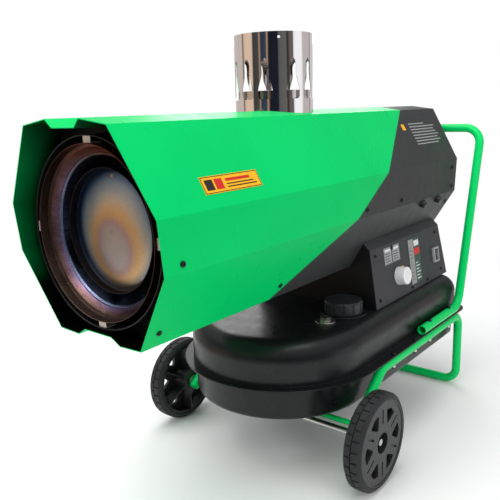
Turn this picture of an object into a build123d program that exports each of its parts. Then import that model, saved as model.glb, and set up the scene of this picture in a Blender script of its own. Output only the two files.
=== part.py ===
from build123d import *
import os
from math import sin, cos, tan, atan2, radians, degrees, sqrt

# Indirect fired space heater, millimetres.
# X runs across the heater, the warm air outlet faces -Y, Z is up and Z = 0 is the floor.
# Lengths along the heater are given from the front tip of the casing.

# Sheet metal and running clearances
casing_sheet = 1.5
liner_sheet = 1.5
exchanger_sheet = 1.5
tank_sheet = 1.5
housing_sheet = 1.5
seat_gap = 0.3
running_gap = 1.0
shaft_gap = 0.05
hole_gap = 0.5

# Octagonal casing
casing_width = 360.0
casing_height = 346.0
side_flat = 84.0
top_flat = 206.0
axis_height = 573.0
casing_length = 1077.0
rim_lean = 5.3
rear_lean = 6.3
ridge_half = 41.5
ridge_rise = 9.0
channel_half = 27.5
channel_depth = 13.0
keel_half = 53.0
keel_drop = 2.0
keel_notch_half = 33.0
keel_notch = 12.0
split_angle = 32.0
split_from_tip = 706.6
split_height = 618.3
lap_width = 18.0

# Screws that show on the casing
screw_head_radius = 5.0
screw_head_height = 3.0
screw_shank_radius = 2.0
screw_shank = 9.0
casing_screw_margin = 14.0
casing_screw_front = 57.0
casing_screw_split = 373.0
casing_screw_mid = 606.0
casing_screw_back = 768.0

# Warm air duct and heat exchanger
liner_radius = 157.0
liner_from_tip = 40.0
exchanger_radius = 144.0
exchanger_bore = 123.5
exchanger_from_tip = 38.5
exchanger_length = 640.0
exchanger_nose = 32.0
exchanger_shoulder = 6.5
drum_radius = 104.5
drum_from_tip = 70.5
drum_length = 560.0
dome_inset = 17.0
dome_rise = 13.0
dome_edge = 8.0
crossover_radius = 38.0
crossover_from_tip = 170.0
clip_width = 18.0
clip_length = 22.0
clip_from_front = 3.0
front_plate_from_tip = 78.0
rear_plate_from_tip = 1046.0
plate_flange = 22.0

# Flue
flue_from_tip = 529.0
flue_radius = 75.0
flue_wall = 1.2
flue_top = 795.0
sleeve_radius = 81.0
sleeve_wall = 1.0
sleeve_bottom = 738.0
sleeve_top = 906.0
vent_count = 12
vent_pitch = 29.0
vent_start = 70.0
vent_bottom = 778.0
vent_height = 79.0
vent_half_width = 14.8
sleeve_hole_radius = 2.7
socket_depth = 45.0
stop_height = 2.0
stop_reach = 1.6
spacer_ring_thickness = 2.0

# Burner, motor and fan
burner_tube_radius = 50.0
burner_tube_length = 95.0
burner_tube_wall = 1.5
burner_box_radius = 88.0
burner_box_length = 78.0
burner_box_wall = 1.5
nozzle_radius = 8.0
nozzle_length = 52.0
electrode_radius = 2.6
electrode_length = 60.0
electrode_offset = 15.0
swirl_radius = 44.0
impeller_radius = 62.0
impeller_width = 34.0
motor_radius = 58.0
motor_length = 118.0
motor_shaft_radius = 6.0
motor_front_shaft = 62.0
motor_rear_shaft = 66.0
fan_radius = 142.0
fan_hub_radius = 38.0
fan_hub_length = 34.0
fan_blade_count = 6
fan_blade_pitch = 28.0
fan_blade_thickness = 2.0
fan_from_tip = 1004.0
guard_wire = 1.5
guard_spoke = 2.0
guard_ring_count = 8
guard_spoke_count = 4

# Fuel tank
tank_half_width = 206.0
tank_from_tip = 335.0
tank_length = 747.0
tank_seam = 214.5
tank_top = 305.0
tank_bottom = 139.0
tank_top_round = 42.0
tank_bottom_round = 12.0
tank_rear_round = 38.0
pan_inset = 6.0
flange_side = 24.0
flange_front = 17.0
flange_rear = 14.0

# Filler, cap and gauge
filler_x = 115.0
filler_from_tip = 618.0
collar_radius = 52.0
collar_height = 3.0
neck_radius = 33.0
neck_wall = 2.0
neck_depth = 12.0
cap_radius = 43.0
cap_height = 27.0
cap_skin = 3.0
cap_flutes = 12
cap_flute_radius = 2.6
cap_lip_gap = 1.0
gasket_thickness = 2.5
gasket_width = 7.0
collar_screw_offset = 47.0
gauge_from_tip = 542.0
gauge_flange_radius = 22.0
gauge_flange_height = 2.5
gauge_hex_radius = 12.5
gauge_hex_height = 8.0
float_arm = 92.0
float_radius = 13.0
float_length = 34.0
float_drop = 34.0

# Fuel pipes
line_radius = 3.0
line_bend = 12.0

# Control housing between tank and casing
housing_from_tip = 670.0
housing_length = 405.0
housing_foot_half = 172.0
housing_fold_half = 152.0
housing_fold_height = 441.0
housing_shoulder_half = 136.0
housing_shoulder_height = 457.0
housing_rear_rake = 25.0
housing_rim = 15.0
panel_sheet = 1.5
panel_screw_radius = 4.2
panel_screw_height = 2.6
panel_screw_shank_radius = 1.8
panel_screw_shank = 8.0
panel_screw_margin = 8.5
panel_screw_mid = 190.0
panel_screw_back = 281.0

# Controls on the panel, placed by distance from the tip and height
knob_from_tip = 792.0
knob_z = 358.0
knob_radius = 22.0
knob_height = 24.0
knob_ribs = 30
spindle_radius = 3.0
spindle_length = 24.0
thermostat_width = 40.0
thermostat_depth = 26.0
switch_from_tip = 1010.0
switch_z = 367.0
switch_width = 30.0
switch_height = 39.0
switch_depth = 22.0
bezel_rim = 4.0
bezel_height = 7.0
rocker_pin_radius = 1.6
rocker_clearance = 0.6
label_thickness = 0.6
small_plates_from_tip = (751.0, 792.0)
small_plate_z = 414.0
small_plate_width = 38.0
small_plate_height = 40.0
knob_plate_shift = 14.0
knob_plate_size = 38.0
name_plate_from_tip = 891.0
name_plate_z = 375.0
name_plate_width = 62.0
name_plate_height = 112.0
side_plate_from_tip = 195.0
side_plate_z = 648.0
side_plate_length = 138.0
side_plate_height = 30.0
glands_from_tip = (894.0, 985.0)
gland_z = 521.0
gland_hex_radius = 10.5
gland_hex_height = 5.0
gland_dome_height = 7.0
gland_thread_radius = 6.0

# Chassis tubes
tube_radius = 11.0
tube_wall = 1.5
tube_half_span = 222.0
rail_bend_from_tip = 598.0
leg_from_tip = 1042.0
bend_radius = 34.0
brace_radius = 6.0
handle_from_tip = 804.0
handle_bend_from_tip = 1034.0
handle_lean = 14.6
handle_top = 692.0
handle_bend_radius = 44.0
bolt_from_tip = (654.0, 766.0)
handle_bolt_from_tip = (850.0, 970.0)
bolt_radius = 3.0
bolt_head_radius = 5.6
bolt_head_height = 3.6
nut_height = 5.0

# Wheels and axle
wheel_radius = 101.5
wheel_width = 39.0
wheel_outer_x = 289.5
wheel_from_tip = 478.0
tyre_bore = 88.5
tyre_shoulder = 7.0
tread_depth = 3.0
tread_blocks = 30
tread_groove = 3.2
rim_wall = 6.0
web_thickness = 8.0
web_inset = 2.0
hub_radius = 27.0
hub_recess_radius = 21.5
hub_recess_depth = 26.0
window_count = 6
window_inner = 38.0
window_outer = 70.0
window_half_width = 19.0
slot_inner = 42.0
slot_outer = 72.0
slot_width = 4.2
rib_thickness = 3.0
axle_radius = 7.0
axle_washer_radius = 13.0
axle_washer_thickness = 2.0
split_pin_radius = 1.4
axle_end_margin = 6.0

# Places derived from the sizes above
handle_z = tank_seam + tank_sheet + tube_radius
handle_top_from_tip = handle_bend_from_tip + (handle_top - handle_z) * tan(radians(handle_lean))
overall_length = handle_top_from_tip + tube_radius
front_tip = -overall_length / 2
split_y = front_tip + split_from_tip
half_casing = casing_width / 2
half_height = casing_height / 2
half_flat = side_flat / 2
corner_x = top_flat / 2
ridge_top = half_height + ridge_rise
channel_floor = ridge_top - channel_depth
keel_bottom = half_height + keel_drop
rim_reach = ridge_top * tan(radians(rim_lean))
axis_front = front_tip + rim_reach
axis_rear = axis_front + casing_length
facet_angle = degrees(atan2(half_height - half_flat, half_casing - corner_x))
wheel_y = front_tip + wheel_from_tip
axle_z = wheel_radius
rail_z = tank_seam - tank_sheet - tube_radius
tank_centre_y = front_tip + tank_from_tip + tank_half_width
tank_rear_y = front_tip + tank_from_tip + tank_length
flue_y = front_tip + flue_from_tip
housing_y = front_tip + housing_from_tip
lean_angle = degrees(atan2(housing_foot_half - housing_fold_half, housing_fold_height - tank_top))


def along_y(face, y0, y1):
    """Extrude a face drawn in X and Z from y0 to y1."""
    return extrude(Plane.XZ.offset(-y0) * face, amount=-(y1 - y0))


def closed_face(points):
    return make_face(Polyline(*points, close=True))


def ring_y(radius, bore, y0, y1, z=axis_height):
    face = Circle(radius) - Circle(bore) if bore > 0 else Circle(radius)
    return Pos(0, 0, z) * along_y(face, y0, y1)


def disc_z(radius, x, y, z0, z1, bore=0.0):
    face = Circle(radius) - Circle(bore) if bore > 0 else Circle(radius)
    return extrude(Pos(x, y, z0) * face, amount=z1 - z0)


def rod_x(radius, x0, x1, y, z, bore=0.0):
    face = Circle(radius) - Circle(bore) if bore > 0 else Circle(radius)
    return extrude(Plane((x0, y, z), x_dir=(0, 1, 0), z_dir=(1, 0, 0)) * face, amount=x1 - x0)


def keep_side(shape, origin, normal):
    """Keep what lies on the side that the normal points to."""
    return split(shape, bisect_by=Plane(origin, z_dir=normal), keep=Keep.TOP)


def mirrored(shape):
    return mirror(shape, about=Plane.YZ)


def turned_about_axis(shape, angle):
    """Turn a shape about the axis of the casing."""
    return Pos(0, 0, axis_height) * Rot(0, angle, 0) * Pos(0, 0, -axis_height) * shape


# Casing

def casing_outline(inset):
    """Octagon with a sunk channel along the top and a raised notch along the bottom."""
    right = [
        (channel_half, channel_floor),
        (ridge_half, ridge_top),
        (corner_x, half_height),
        (half_casing, half_flat),
        (half_casing, -half_flat),
        (corner_x, -half_height),
        (keel_half, -keel_bottom),
        (keel_notch_half, -keel_bottom + keel_notch),
    ]
    left = [(-x, z) for x, z in reversed(right)]
    outline = Pos(0, axis_height) * closed_face(right + left)
    return offset(outline, amount=-inset, kind=Kind.INTERSECTION) if inset > 0 else outline


def casing_shell(outer_inset, wall):
    face = casing_outline(outer_inset) - casing_outline(outer_inset + wall)
    return along_y(face, front_tip - casing_sheet, axis_rear + ridge_top * tan(radians(rear_lean)) + casing_sheet)


rim_normal = (0, cos(radians(rim_lean)), sin(radians(rim_lean)))
rear_normal = (0, -cos(radians(rear_lean)), sin(radians(rear_lean)))
split_normal = (0, -sin(radians(split_angle)), cos(radians(split_angle)))
rim_point = (0, axis_front, axis_height)
rear_point = (0, axis_rear, axis_height)
split_point = (0, split_y, split_height)


def facet_frame(y, z, lower):
    """Plane on the outside of a slanted facet of the +X side, with its x axis along the heater."""
    rise = (z - axis_height + half_flat) if lower else (z - axis_height - half_flat)
    x = half_casing - abs(rise) / tan(radians(facet_angle))
    tilt = radians(facet_angle)
    normal = (sin(tilt), 0, -cos(tilt)) if lower else (sin(tilt), 0, cos(tilt))
    return Plane((x, y, z), x_dir=(0, 1, 0), z_dir=normal)


def side_frame(y, z):
    return Plane((half_casing, y, z), x_dir=(0, 1, 0), z_dir=(1, 0, 0))


def casing_screw_frames():
    """Seats of the pan head screws on the +X side."""
    rear_line = axis_rear - 2 * casing_screw_margin
    return [
        side_frame(front_tip + casing_screw_front, axis_height - half_flat + casing_screw_margin),
        facet_frame(front_tip + casing_screw_front, axis_height - half_height + 2 * casing_screw_margin, True),
        facet_frame(front_tip + casing_screw_split, axis_height - half_height + 2 * casing_screw_margin, True),
        side_frame(front_tip + casing_screw_mid, axis_height - half_flat + casing_screw_margin),
        side_frame(front_tip + casing_screw_back, axis_height - half_flat + casing_screw_margin),
        side_frame(rear_line, axis_height - half_flat + casing_screw_margin),
        side_frame(rear_line, axis_height + half_flat - 3 * casing_screw_margin / 2),
        facet_frame(rear_line, axis_height - half_flat - 2 * casing_screw_margin, True),
    ]


def screw_at(frame, head_radius, head_height, shank_radius, shank_length):
    head = extrude(frame * Circle(head_radius), amount=head_height)
    top_edge = head.edges().group_by(lambda e: (e.center() - frame.origin).dot(frame.z_dir))[-1]
    head = fillet(top_edge, head_height * 0.6)
    recess = extrude(frame.offset(head_height - head_height / 2) * Rectangle(head_radius, head_radius / 4),
                     amount=head_height)
    cross = extrude(frame.offset(head_height - head_height / 2) * Rectangle(head_radius / 4, head_radius),
                    amount=head_height)
    shank = extrude(frame * Circle(shank_radius), amount=-shank_length)
    return head - recess - cross + shank


def shank_hole(frame, radius, depth):
    return extrude(frame.offset(depth) * Circle(radius), amount=-2 * depth)


def make_casings():
    outer = casing_shell(0, casing_sheet)
    body = keep_side(outer, rim_point, rim_normal)
    body = keep_side(body, rear_point, rear_normal)
    front = keep_side(body, split_point, split_normal)
    rear_outer = keep_side(body, split_point, tuple(-c for c in split_normal))
    tongue = casing_shell(casing_sheet, casing_sheet)
    tongue = keep_side(tongue, rear_point, rear_normal)
    lap_point = tuple(p + lap_width * n for p, n in zip(split_point, split_normal))
    tongue_end = tuple(p - lap_width * n for p, n in zip(split_point, split_normal))
    tongue = keep_side(tongue, lap_point, tuple(-c for c in split_normal))
    tongue = keep_side(tongue, tongue_end, split_normal)
    rear = rear_outer + tongue
    flue_hole = disc_z(sleeve_radius + hole_gap, 0, flue_y, axis_height, axis_height + casing_height)
    holes = []
    for frame in casing_screw_frames():
        hole = shank_hole(frame, screw_shank_radius, screw_shank)
        holes += [hole, mirrored(hole)]
    for frame in gland_frames():
        holes.append(shank_hole(frame, gland_thread_radius, gland_hex_height * 2))
    holes.append(disc_z(line_radius + hole_gap, 0, feed_y, tank_top, axis_height))
    front = front - flue_hole - holes
    rear = rear - flue_hole - holes
    return front, rear


def make_casing_screws():
    solids = []
    for frame in casing_screw_frames():
        screw = screw_at(frame, screw_head_radius, screw_head_height, screw_shank_radius, screw_shank)
        solids += [screw, mirrored(screw)]
    return solids


def gland_frames():
    return [facet_frame(front_tip + d, gland_z, True) for d in glands_from_tip]


def make_glands():
    solids = []
    for frame in gland_frames():
        hexagon = extrude(frame * RegularPolygon(gland_hex_radius, 6), amount=gland_hex_height)
        dome = extrude(frame.offset(gland_hex_height) * Circle(gland_hex_radius * 0.8), amount=gland_dome_height)
        top_edge = dome.edges().group_by(lambda e: (e.center() - frame.origin).dot(frame.z_dir))[-1]
        dome = fillet(top_edge, gland_dome_height * 0.6)
        thread = extrude(frame * Circle(gland_thread_radius), amount=-gland_dome_height)
        nut = extrude(frame.offset(-2 * casing_sheet) * RegularPolygon(gland_hex_radius, 6), amount=-gland_hex_height / 2)
        solids.append(hexagon + dome + thread + nut)
    return solids


def make_end_plate(y, opening_radius, flange_to, flange_screws):
    """Web across the casing with a round opening, and a flange that follows the octagon."""
    gap = casing_sheet if flange_to > 0 else 2 * casing_sheet
    web = along_y(casing_outline(gap), y, y + casing_sheet)
    web = web - ring_y(opening_radius, 0, y - 1, y + 2 * casing_sheet)
    low, high = sorted((y, y + flange_to))
    flange = along_y(casing_outline(gap) - casing_outline(gap + casing_sheet), low, high)
    plate = web + flange
    holes = []
    for frame in casing_screw_frames():
        hole = shank_hole(frame, screw_shank_radius, screw_shank)
        holes += [hole, mirrored(hole)]
    return plate - holes


# Duct, exchanger and combustion drum

def make_liner():
    y0 = front_tip + liner_from_tip
    liner = ring_y(liner_radius, liner_radius - liner_sheet, y0, front_tip + rear_plate_from_tip)
    bead = Pos(0, y0 + liner_sheet, axis_height) * Rot(90, 0, 0) * Torus(liner_radius - liner_sheet / 2, liner_sheet)
    flue_hole = disc_z(flue_radius + running_gap, 0, flue_y, axis_height, axis_height + 2 * liner_radius)
    feed_hole = disc_z(line_radius + hole_gap, 0, feed_y, axis_height - 2 * liner_radius, axis_height)
    return liner + bead - flue_hole - feed_hole


def revolve_profile(points):
    """Revolve a profile given as radius and place along Y about the casing axis."""
    face = Plane((0, 0, axis_height), x_dir=(0, 0, 1), z_dir=(1, 0, 0)) * closed_face([(r, -y) for r, y in points])
    return revolve(face, axis=Axis((0, 0, axis_height), (0, 1, 0)))


def make_exchanger():
    """Double walled drum: the flue gas runs between its walls, and warm air on both sides of it."""
    y0 = front_tip + exchanger_from_tip
    y1 = y0 + exchanger_length
    t = exchanger_sheet
    step = exchanger_radius - exchanger_shoulder
    slope_start = y0 + exchanger_nose * 0.6
    slope_end = y0 + exchanger_nose
    inner = exchanger_bore
    bead = t * 4
    skin = [
        (exchanger_radius, y0), (exchanger_radius, y1), (inner, y1), (inner, slope_end),
        (inner + bead / 2, slope_end - bead / 2), (inner + bead, slope_end - t),
        (step, slope_start), (exchanger_radius - t, slope_start - t * 2), (exchanger_radius - t, y0),
    ]
    cavity = [
        (exchanger_radius - t, slope_start + t), (exchanger_radius - t, y1 - t), (inner + t, y1 - t),
        (inner + t, slope_end + t / 2), (inner + bead, slope_end + t), (step, slope_start + 2 * t),
    ]
    body = revolve_profile(skin) - revolve_profile(cavity)
    body = body - disc_z(flue_radius - flue_wall, 0, flue_y, axis_height + inner + 3 * t, axis_height + 2 * exchanger_radius)
    passage = disc_z(crossover_radius - t, 0, front_tip + crossover_from_tip,
                     axis_height - exchanger_radius + 3 * t, axis_height - inner / 2)
    return body - passage


def make_drum():
    y0 = front_tip + drum_from_tip
    y1 = y0 + drum_length
    t = exchanger_sheet
    drum = ring_y(drum_radius, drum_radius - t, y0, y1)
    back = ring_y(drum_radius, burner_tube_radius, y1 - t, y1)
    passage = disc_z(crossover_radius - t, 0, front_tip + crossover_from_tip, axis_height - exchanger_bore, axis_height)
    return drum + back - passage


def make_dome():
    """Dished end of the combustion drum, pressed in behind its rim."""
    y0 = front_tip + drum_from_tip + dome_inset
    r = drum_radius - exchanger_sheet
    t = exchanger_sheet
    rim_in = r - dome_edge
    sphere = (rim_in * rim_in + dome_rise * dome_rise) / (2 * dome_rise)
    frame = Plane((0, 0, axis_height), x_dir=(0, 0, 1), z_dir=(1, 0, 0))
    crown = y0 - dome_rise
    half = rim_in / 2
    mid = crown + sphere - sqrt(sphere * sphere - half * half)
    outer = ThreePointArc((0, -crown), (half, -mid), (rim_in, -y0))
    inner = ThreePointArc((0, -(crown + t)), (half, -(mid + t)), (rim_in, -(y0 + t)))
    turn_out = Polyline((rim_in, -y0), (r - t, -(y0 + t * 2)), (r, -(y0 - dome_edge / 2)), (r, -(y0 + dome_edge)),
                        (r - t, -(y0 + dome_edge)), (rim_in, -(y0 + t)))
    shut = Line((0, -crown), (0, -(crown + t)))
    face = frame * make_face([outer, turn_out, inner, shut])
    return revolve(face, axis=Axis((0, 0, axis_height), (0, 1, 0)))


def make_crossover():
    """Short duct that carries the gas from the drum into the exchanger."""
    y = front_tip + crossover_from_tip
    tube = disc_z(crossover_radius, 0, y, axis_height - exchanger_bore - 1, axis_height - drum_radius / 2,
                  crossover_radius - exchanger_sheet)
    drum_cut = ring_y(drum_radius, 0, y - 2 * crossover_radius, y + 2 * crossover_radius)
    shell_keep = ring_y(exchanger_bore, 0, y - 2 * crossover_radius, y + 2 * crossover_radius)
    return (tube - drum_cut) & shell_keep


def make_clips():
    """Four straps that centre the exchanger in the duct."""
    y0 = front_tip + liner_from_tip + clip_from_front
    solids = []
    for i in range(4):
        bar = Pos(0, y0 + clip_length / 2, axis_height + (liner_radius + exchanger_radius) / 2) * Box(
            clip_width, clip_length, 2 * (liner_radius - exchanger_radius))
        ring = ring_y(liner_radius - liner_sheet, exchanger_radius, y0, y0 + clip_length)
        block = bar & ring
        hollow = ring_y(liner_radius - 2 * liner_sheet, exchanger_radius + liner_sheet, y0 + liner_sheet,
                        y0 + clip_length + 1)
        clip = block - hollow
        solids.append(Pos(0, 0, axis_height) * Rot(0, 90 * i, 0) * Pos(0, 0, -axis_height) * clip)
    return [s for c in solids for s in c.solids()]


def make_rear_supports():
    """Four feet that carry the back of the exchanger in the duct."""
    y1 = front_tip + exchanger_from_tip + exchanger_length
    solids = []
    for i in range(4):
        bar = Pos(0, y1 - clip_length, axis_height + (liner_radius + exchanger_radius) / 2) * Box(
            clip_width, clip_length, 2 * (liner_radius - exchanger_radius))
        ring = ring_y(liner_radius - liner_sheet, exchanger_radius, y1 - 2 * clip_length, y1)
        solids.append(Pos(0, 0, axis_height) * Rot(0, 45 + 90 * i, 0) * Pos(0, 0, -axis_height) * (bar & ring))
    return [s for c in solids for s in c.solids()]


def make_drum_straps():
    """Radial straps between the drum and the bore of the exchanger."""
    y0 = front_tip + drum_from_tip + drum_length
    solids = []
    for y in (front_tip + drum_from_tip + clip_length * 2, y0 - clip_length * 2):
        for i in range(3):
            bar = Pos(0, y, axis_height + (exchanger_bore + drum_radius) / 2) * Box(
                liner_sheet, clip_length, 2 * (exchanger_bore - drum_radius))
            ring = ring_y(exchanger_bore, drum_radius, y - clip_length, y + clip_length)
            solids.append(Pos(0, 0, axis_height) * Rot(0, 120 * i, 0) * Pos(0, 0, -axis_height) * (bar & ring))
    return [s for c in solids for s in c.solids()]


# Flue

def make_flue():
    """Spigot of the flue, with the ring that centres the sleeve on it."""
    tube = disc_z(flue_radius, 0, flue_y, axis_height, flue_top, flue_radius - flue_wall)
    ring = disc_z(sleeve_radius - sleeve_wall, 0, flue_y, sleeve_bottom, sleeve_bottom + spacer_ring_thickness,
                  flue_radius - flue_wall / 2)
    return tube + ring - ring_y(exchanger_radius, 0, flue_y - 2 * flue_radius, flue_y + 2 * flue_radius)


def vent_face():
    """Bell shaped vent: a point on top, a waist, and round lower corners."""
    w = vent_half_width
    h = vent_height
    right = Spline((0, h), (0.38 * w, 0.9 * h), (0.45 * w, 0.62 * h), (0.95 * w, 0.28 * h), (w, 0.12 * h))
    corner = ThreePointArc((w, 0.12 * h), (0.9 * w, 0.03 * h), (0.68 * w, 0))
    base = Line((0.68 * w, 0), (0, 0))
    half = [right, corner, base]
    shut = Line((0, 0), (0, h))
    side = make_face(half + [shut])
    return side + mirror(side, about=Plane.YZ)


def make_sleeve():
    sleeve = disc_z(sleeve_radius, 0, flue_y, sleeve_bottom, sleeve_top, sleeve_radius - sleeve_wall)
    face = vent_face()
    cuts = []
    for i in range(vent_count):
        a = vent_start + vent_pitch * i
        direction = (cos(radians(a)), sin(radians(a)), 0)
        frame = Plane((0, flue_y, vent_bottom), x_dir=(-direction[1], direction[0], 0), z_dir=direction)
        cuts.append(extrude(frame * face, amount=2 * sleeve_radius))
    seam = vent_start - (360 - vent_pitch * (vent_count - 1)) / 2
    hole_dir = (cos(radians(seam)), sin(radians(seam)), 0)
    hole_frame = Plane((0, flue_y, sleeve_top - 4 * sleeve_hole_radius), x_dir=(0, 0, 1), z_dir=hole_dir)
    cuts.append(extrude(hole_frame * Circle(sleeve_hole_radius), amount=2 * sleeve_radius))
    stop_z = sleeve_top - socket_depth
    stop = disc_z(sleeve_radius - sleeve_wall / 2, 0, flue_y, stop_z - stop_height, stop_z,
                  sleeve_radius - sleeve_wall - stop_reach)
    return (sleeve - cuts) + stop


# Burner, motor and fan

drum_end = front_tip + drum_from_tip + drum_length
burner_y0 = drum_end - burner_tube_length * 0.35
burner_box_y0 = burner_y0 + burner_tube_length
burner_box_y1 = burner_box_y0 + burner_box_length
motor_y0 = burner_box_y1
motor_y1 = motor_y0 + motor_length
fan_y = front_tip + fan_from_tip
feed_y = burner_box_y0 - 2 * line_radius


def make_flame_tube():
    tube = ring_y(burner_tube_radius, burner_tube_radius - burner_tube_wall, burner_y0, burner_box_y0)
    swirl = ring_y(swirl_radius, nozzle_radius * 2.4, burner_y0 + 20, burner_y0 + 20 + burner_tube_wall)
    posts = []
    for i in range(3):
        post = Pos(0, burner_y0 + 20 + burner_tube_wall / 2, axis_height + swirl_radius) * Box(
            6, burner_tube_wall, 2 * (burner_tube_radius - swirl_radius) - burner_tube_wall)
        posts.append(Pos(0, 0, axis_height) * Rot(0, 120 * i, 0) * Pos(0, 0, -axis_height) * post)
    slots = []
    for i in range(8):
        slot = Pos(0, burner_y0 + 20, axis_height + swirl_radius * 0.72) * Rot(0, 20, 0) * Box(3, 10, swirl_radius * 0.34)
        slots.append(Pos(0, 0, axis_height) * Rot(0, 45 * i, 0) * Pos(0, 0, -axis_height) * slot)
    feed_hole = disc_z(line_radius, 0, feed_y, axis_height - 2 * burner_tube_radius, axis_height)
    return (tube + (swirl - slots) + posts) - feed_hole


def make_nozzle():
    y1 = burner_box_y0
    stem = ring_y(nozzle_radius * 0.6, 0, y1 - nozzle_length - 12, y1)
    hexagon = Pos(0, 0, axis_height) * along_y(RegularPolygon(nozzle_radius, 6), y1 - nozzle_length, y1 - nozzle_length + 22)
    return stem + hexagon


def make_electrodes():
    y1 = burner_box_y0
    solids = []
    for side in (-1, 1):
        rod = Pos(side * electrode_offset, 0, 0) * ring_y(
            electrode_radius, 0, y1 - electrode_length, y1, axis_height + electrode_offset)
        tip_start = (side * electrode_offset, y1 - electrode_length, axis_height + electrode_offset)
        tip_end = (side * 2.5, y1 - electrode_length - 16, axis_height + electrode_offset - 3)
        tip = sweep(Plane(tip_start, z_dir=Vector(*tip_end) - Vector(*tip_start)) * Circle(0.8),
                    path=Line(tip_start, tip_end))
        solids.append(rod + tip)
    return solids


def make_burner_box():
    """Air box behind the flame tube, with the blower wheel inside and the intake at its back."""
    t = burner_box_wall
    shell = ring_y(burner_box_radius, 0, burner_box_y0, burner_box_y1)
    shell = shell - ring_y(burner_box_radius - t, 0, burner_box_y0 + t, burner_box_y1 - t)
    mouth = []
    for i in range(6):
        hole = Pos(0, 0, axis_height + burner_tube_radius * 0.62) * along_y(Circle(8), burner_box_y0 - 1, burner_box_y0 + 2 * t)
        mouth.append(Pos(0, 0, axis_height) * Rot(0, 30 + 60 * i, 0) * Pos(0, 0, -axis_height) * hole)
    intake = []
    for i in range(8):
        hole = Pos(0, 0, axis_height + burner_box_radius * 0.82) * along_y(Circle(7), burner_box_y1 - 2 * t, burner_box_y1 + 1)
        intake.append(Pos(0, 0, axis_height) * Rot(0, 45 * i, 0) * Pos(0, 0, -axis_height) * hole)
    shaft_hole = ring_y(motor_shaft_radius + running_gap, 0, burner_box_y1 - 2 * t, burner_box_y1 + 1)
    return shell - mouth - intake - shaft_hole


def make_impeller():
    """Blower wheel of the burner, on the front end of the motor shaft."""
    y1 = burner_box_y1 - burner_box_wall - 10
    y0 = y1 - impeller_width
    plate = ring_y(impeller_radius, 0, y1 - 2, y1)
    hub = ring_y(motor_shaft_radius * 2, 0, y0 + 6, y1)
    blades = []
    count = 16
    for i in range(count):
        blade = Pos(0, (y0 + y1) / 2, axis_height + impeller_radius - 9) * Rot(0, 35, 0) * Box(1.5, impeller_width, 15)
        blades.append(Pos(0, 0, axis_height) * Rot(0, 360 * i / count, 0) * Pos(0, 0, -axis_height) * blade)
    ring = ring_y(impeller_radius, impeller_radius - 3, y0, y0 + 2)
    wheel = plate + hub + ring
    wheel = wheel + [b & ring_y(impeller_radius, 0, y0, y1) for b in blades]
    return wheel - ring_y(motor_shaft_radius, 0, y0 - 1, y1 + 1)


def make_motor():
    """Motor can with end bells and cooling fins, bored for its shaft."""
    can = ring_y(motor_radius, 0, motor_y0, motor_y1)
    can = fillet(can.edges().filter_by(GeomType.CIRCLE), 6)
    grooves = []
    for i in range(24):
        groove = Pos(0, (motor_y0 + motor_y1) / 2, axis_height + motor_radius) * Box(3.2, motor_length - 34, 5)
        grooves.append(Pos(0, 0, axis_height) * Rot(0, 15 * i, 0) * Pos(0, 0, -axis_height) * groove)
    return can - grooves - ring_y(motor_shaft_radius + shaft_gap, 0, motor_y0 - 1, motor_y1 + 1)


def make_motor_shaft():
    y0 = burner_box_y1 - burner_box_wall - 10 - impeller_width + 2
    y1 = fan_y + fan_hub_length / 2 + 8
    return ring_y(motor_shaft_radius, 0, y0, y1)


def make_motor_bracket():
    """Cross strap that hangs the motor in the duct: a band round the can and four arms."""
    y0 = (motor_y0 + motor_y1) / 2 - 9
    y1 = y0 + 18
    band = ring_y(motor_radius + 3, motor_radius, y0, y1)
    arms = []
    for i in range(4):
        arm = Pos(0, (y0 + y1) / 2, axis_height + (motor_radius + liner_radius) / 2) * Box(3, 18, liner_radius - motor_radius)
        arm = arm & ring_y(liner_radius - liner_sheet, motor_radius + 1, y0, y1)
        arms.append(Pos(0, 0, axis_height) * Rot(0, 45 + 90 * i, 0) * Pos(0, 0, -axis_height) * arm)
    return band + arms


def make_fan():
    y0 = fan_y - fan_hub_length / 2
    y1 = fan_y + fan_hub_length / 2
    hub = ring_y(fan_hub_radius, 0, y0, y1)
    hub = fillet(hub.edges().filter_by(GeomType.CIRCLE), 4)
    blades = []
    for i in range(fan_blade_count):
        inner = fan_hub_radius - 3
        span = fan_radius - inner
        profile = closed_face([(-26, 0), (26, 0), (44, span * 0.93), (22, span), (-34, span * 0.9)])
        blade = Plane((0, 0, inner), x_dir=(1, 0, 0), z_dir=(0, -1, 0)) * profile
        blade = extrude(blade, amount=fan_blade_thickness / 2, both=True)
        blade = Rot(0, 0, fan_blade_pitch) * blade
        blade = Pos(0, fan_y, axis_height) * Rot(0, 360 * i / fan_blade_count, 0) * blade
        blades.append(blade & ring_y(fan_radius, 0, y0 - 60, y1 + 60))
    fan = hub + blades
    return fan - ring_y(motor_shaft_radius, 0, y0 - 60, y1 + 60)


def make_guard():
    """Guard over the air intake at the back: rings on radial spokes."""
    y = front_tip + rear_plate_from_tip + casing_sheet + guard_spoke
    outer = liner_radius + 2 * guard_spoke
    inner = fan_hub_radius * 0.6
    step = (outer - inner) / (guard_ring_count - 1)
    rings = []
    for i in range(guard_ring_count):
        middle = inner + step * i
        rings.append(Circle(middle + guard_wire) - Circle(middle - guard_wire))
    spokes = [Rot(0, 0, 180 * (i + 0.5) / guard_spoke_count) * Rectangle(2 * guard_spoke, 2 * outer)
              for i in range(guard_spoke_count)]
    grille = rings[0] + rings[1:] + spokes
    guard = Pos(0, 0, axis_height) * along_y(grille, y - guard_spoke, y + guard_spoke)
    return guard & along_y(casing_outline(2 * casing_sheet), y - guard_spoke, y + guard_spoke)


# Tank

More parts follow.
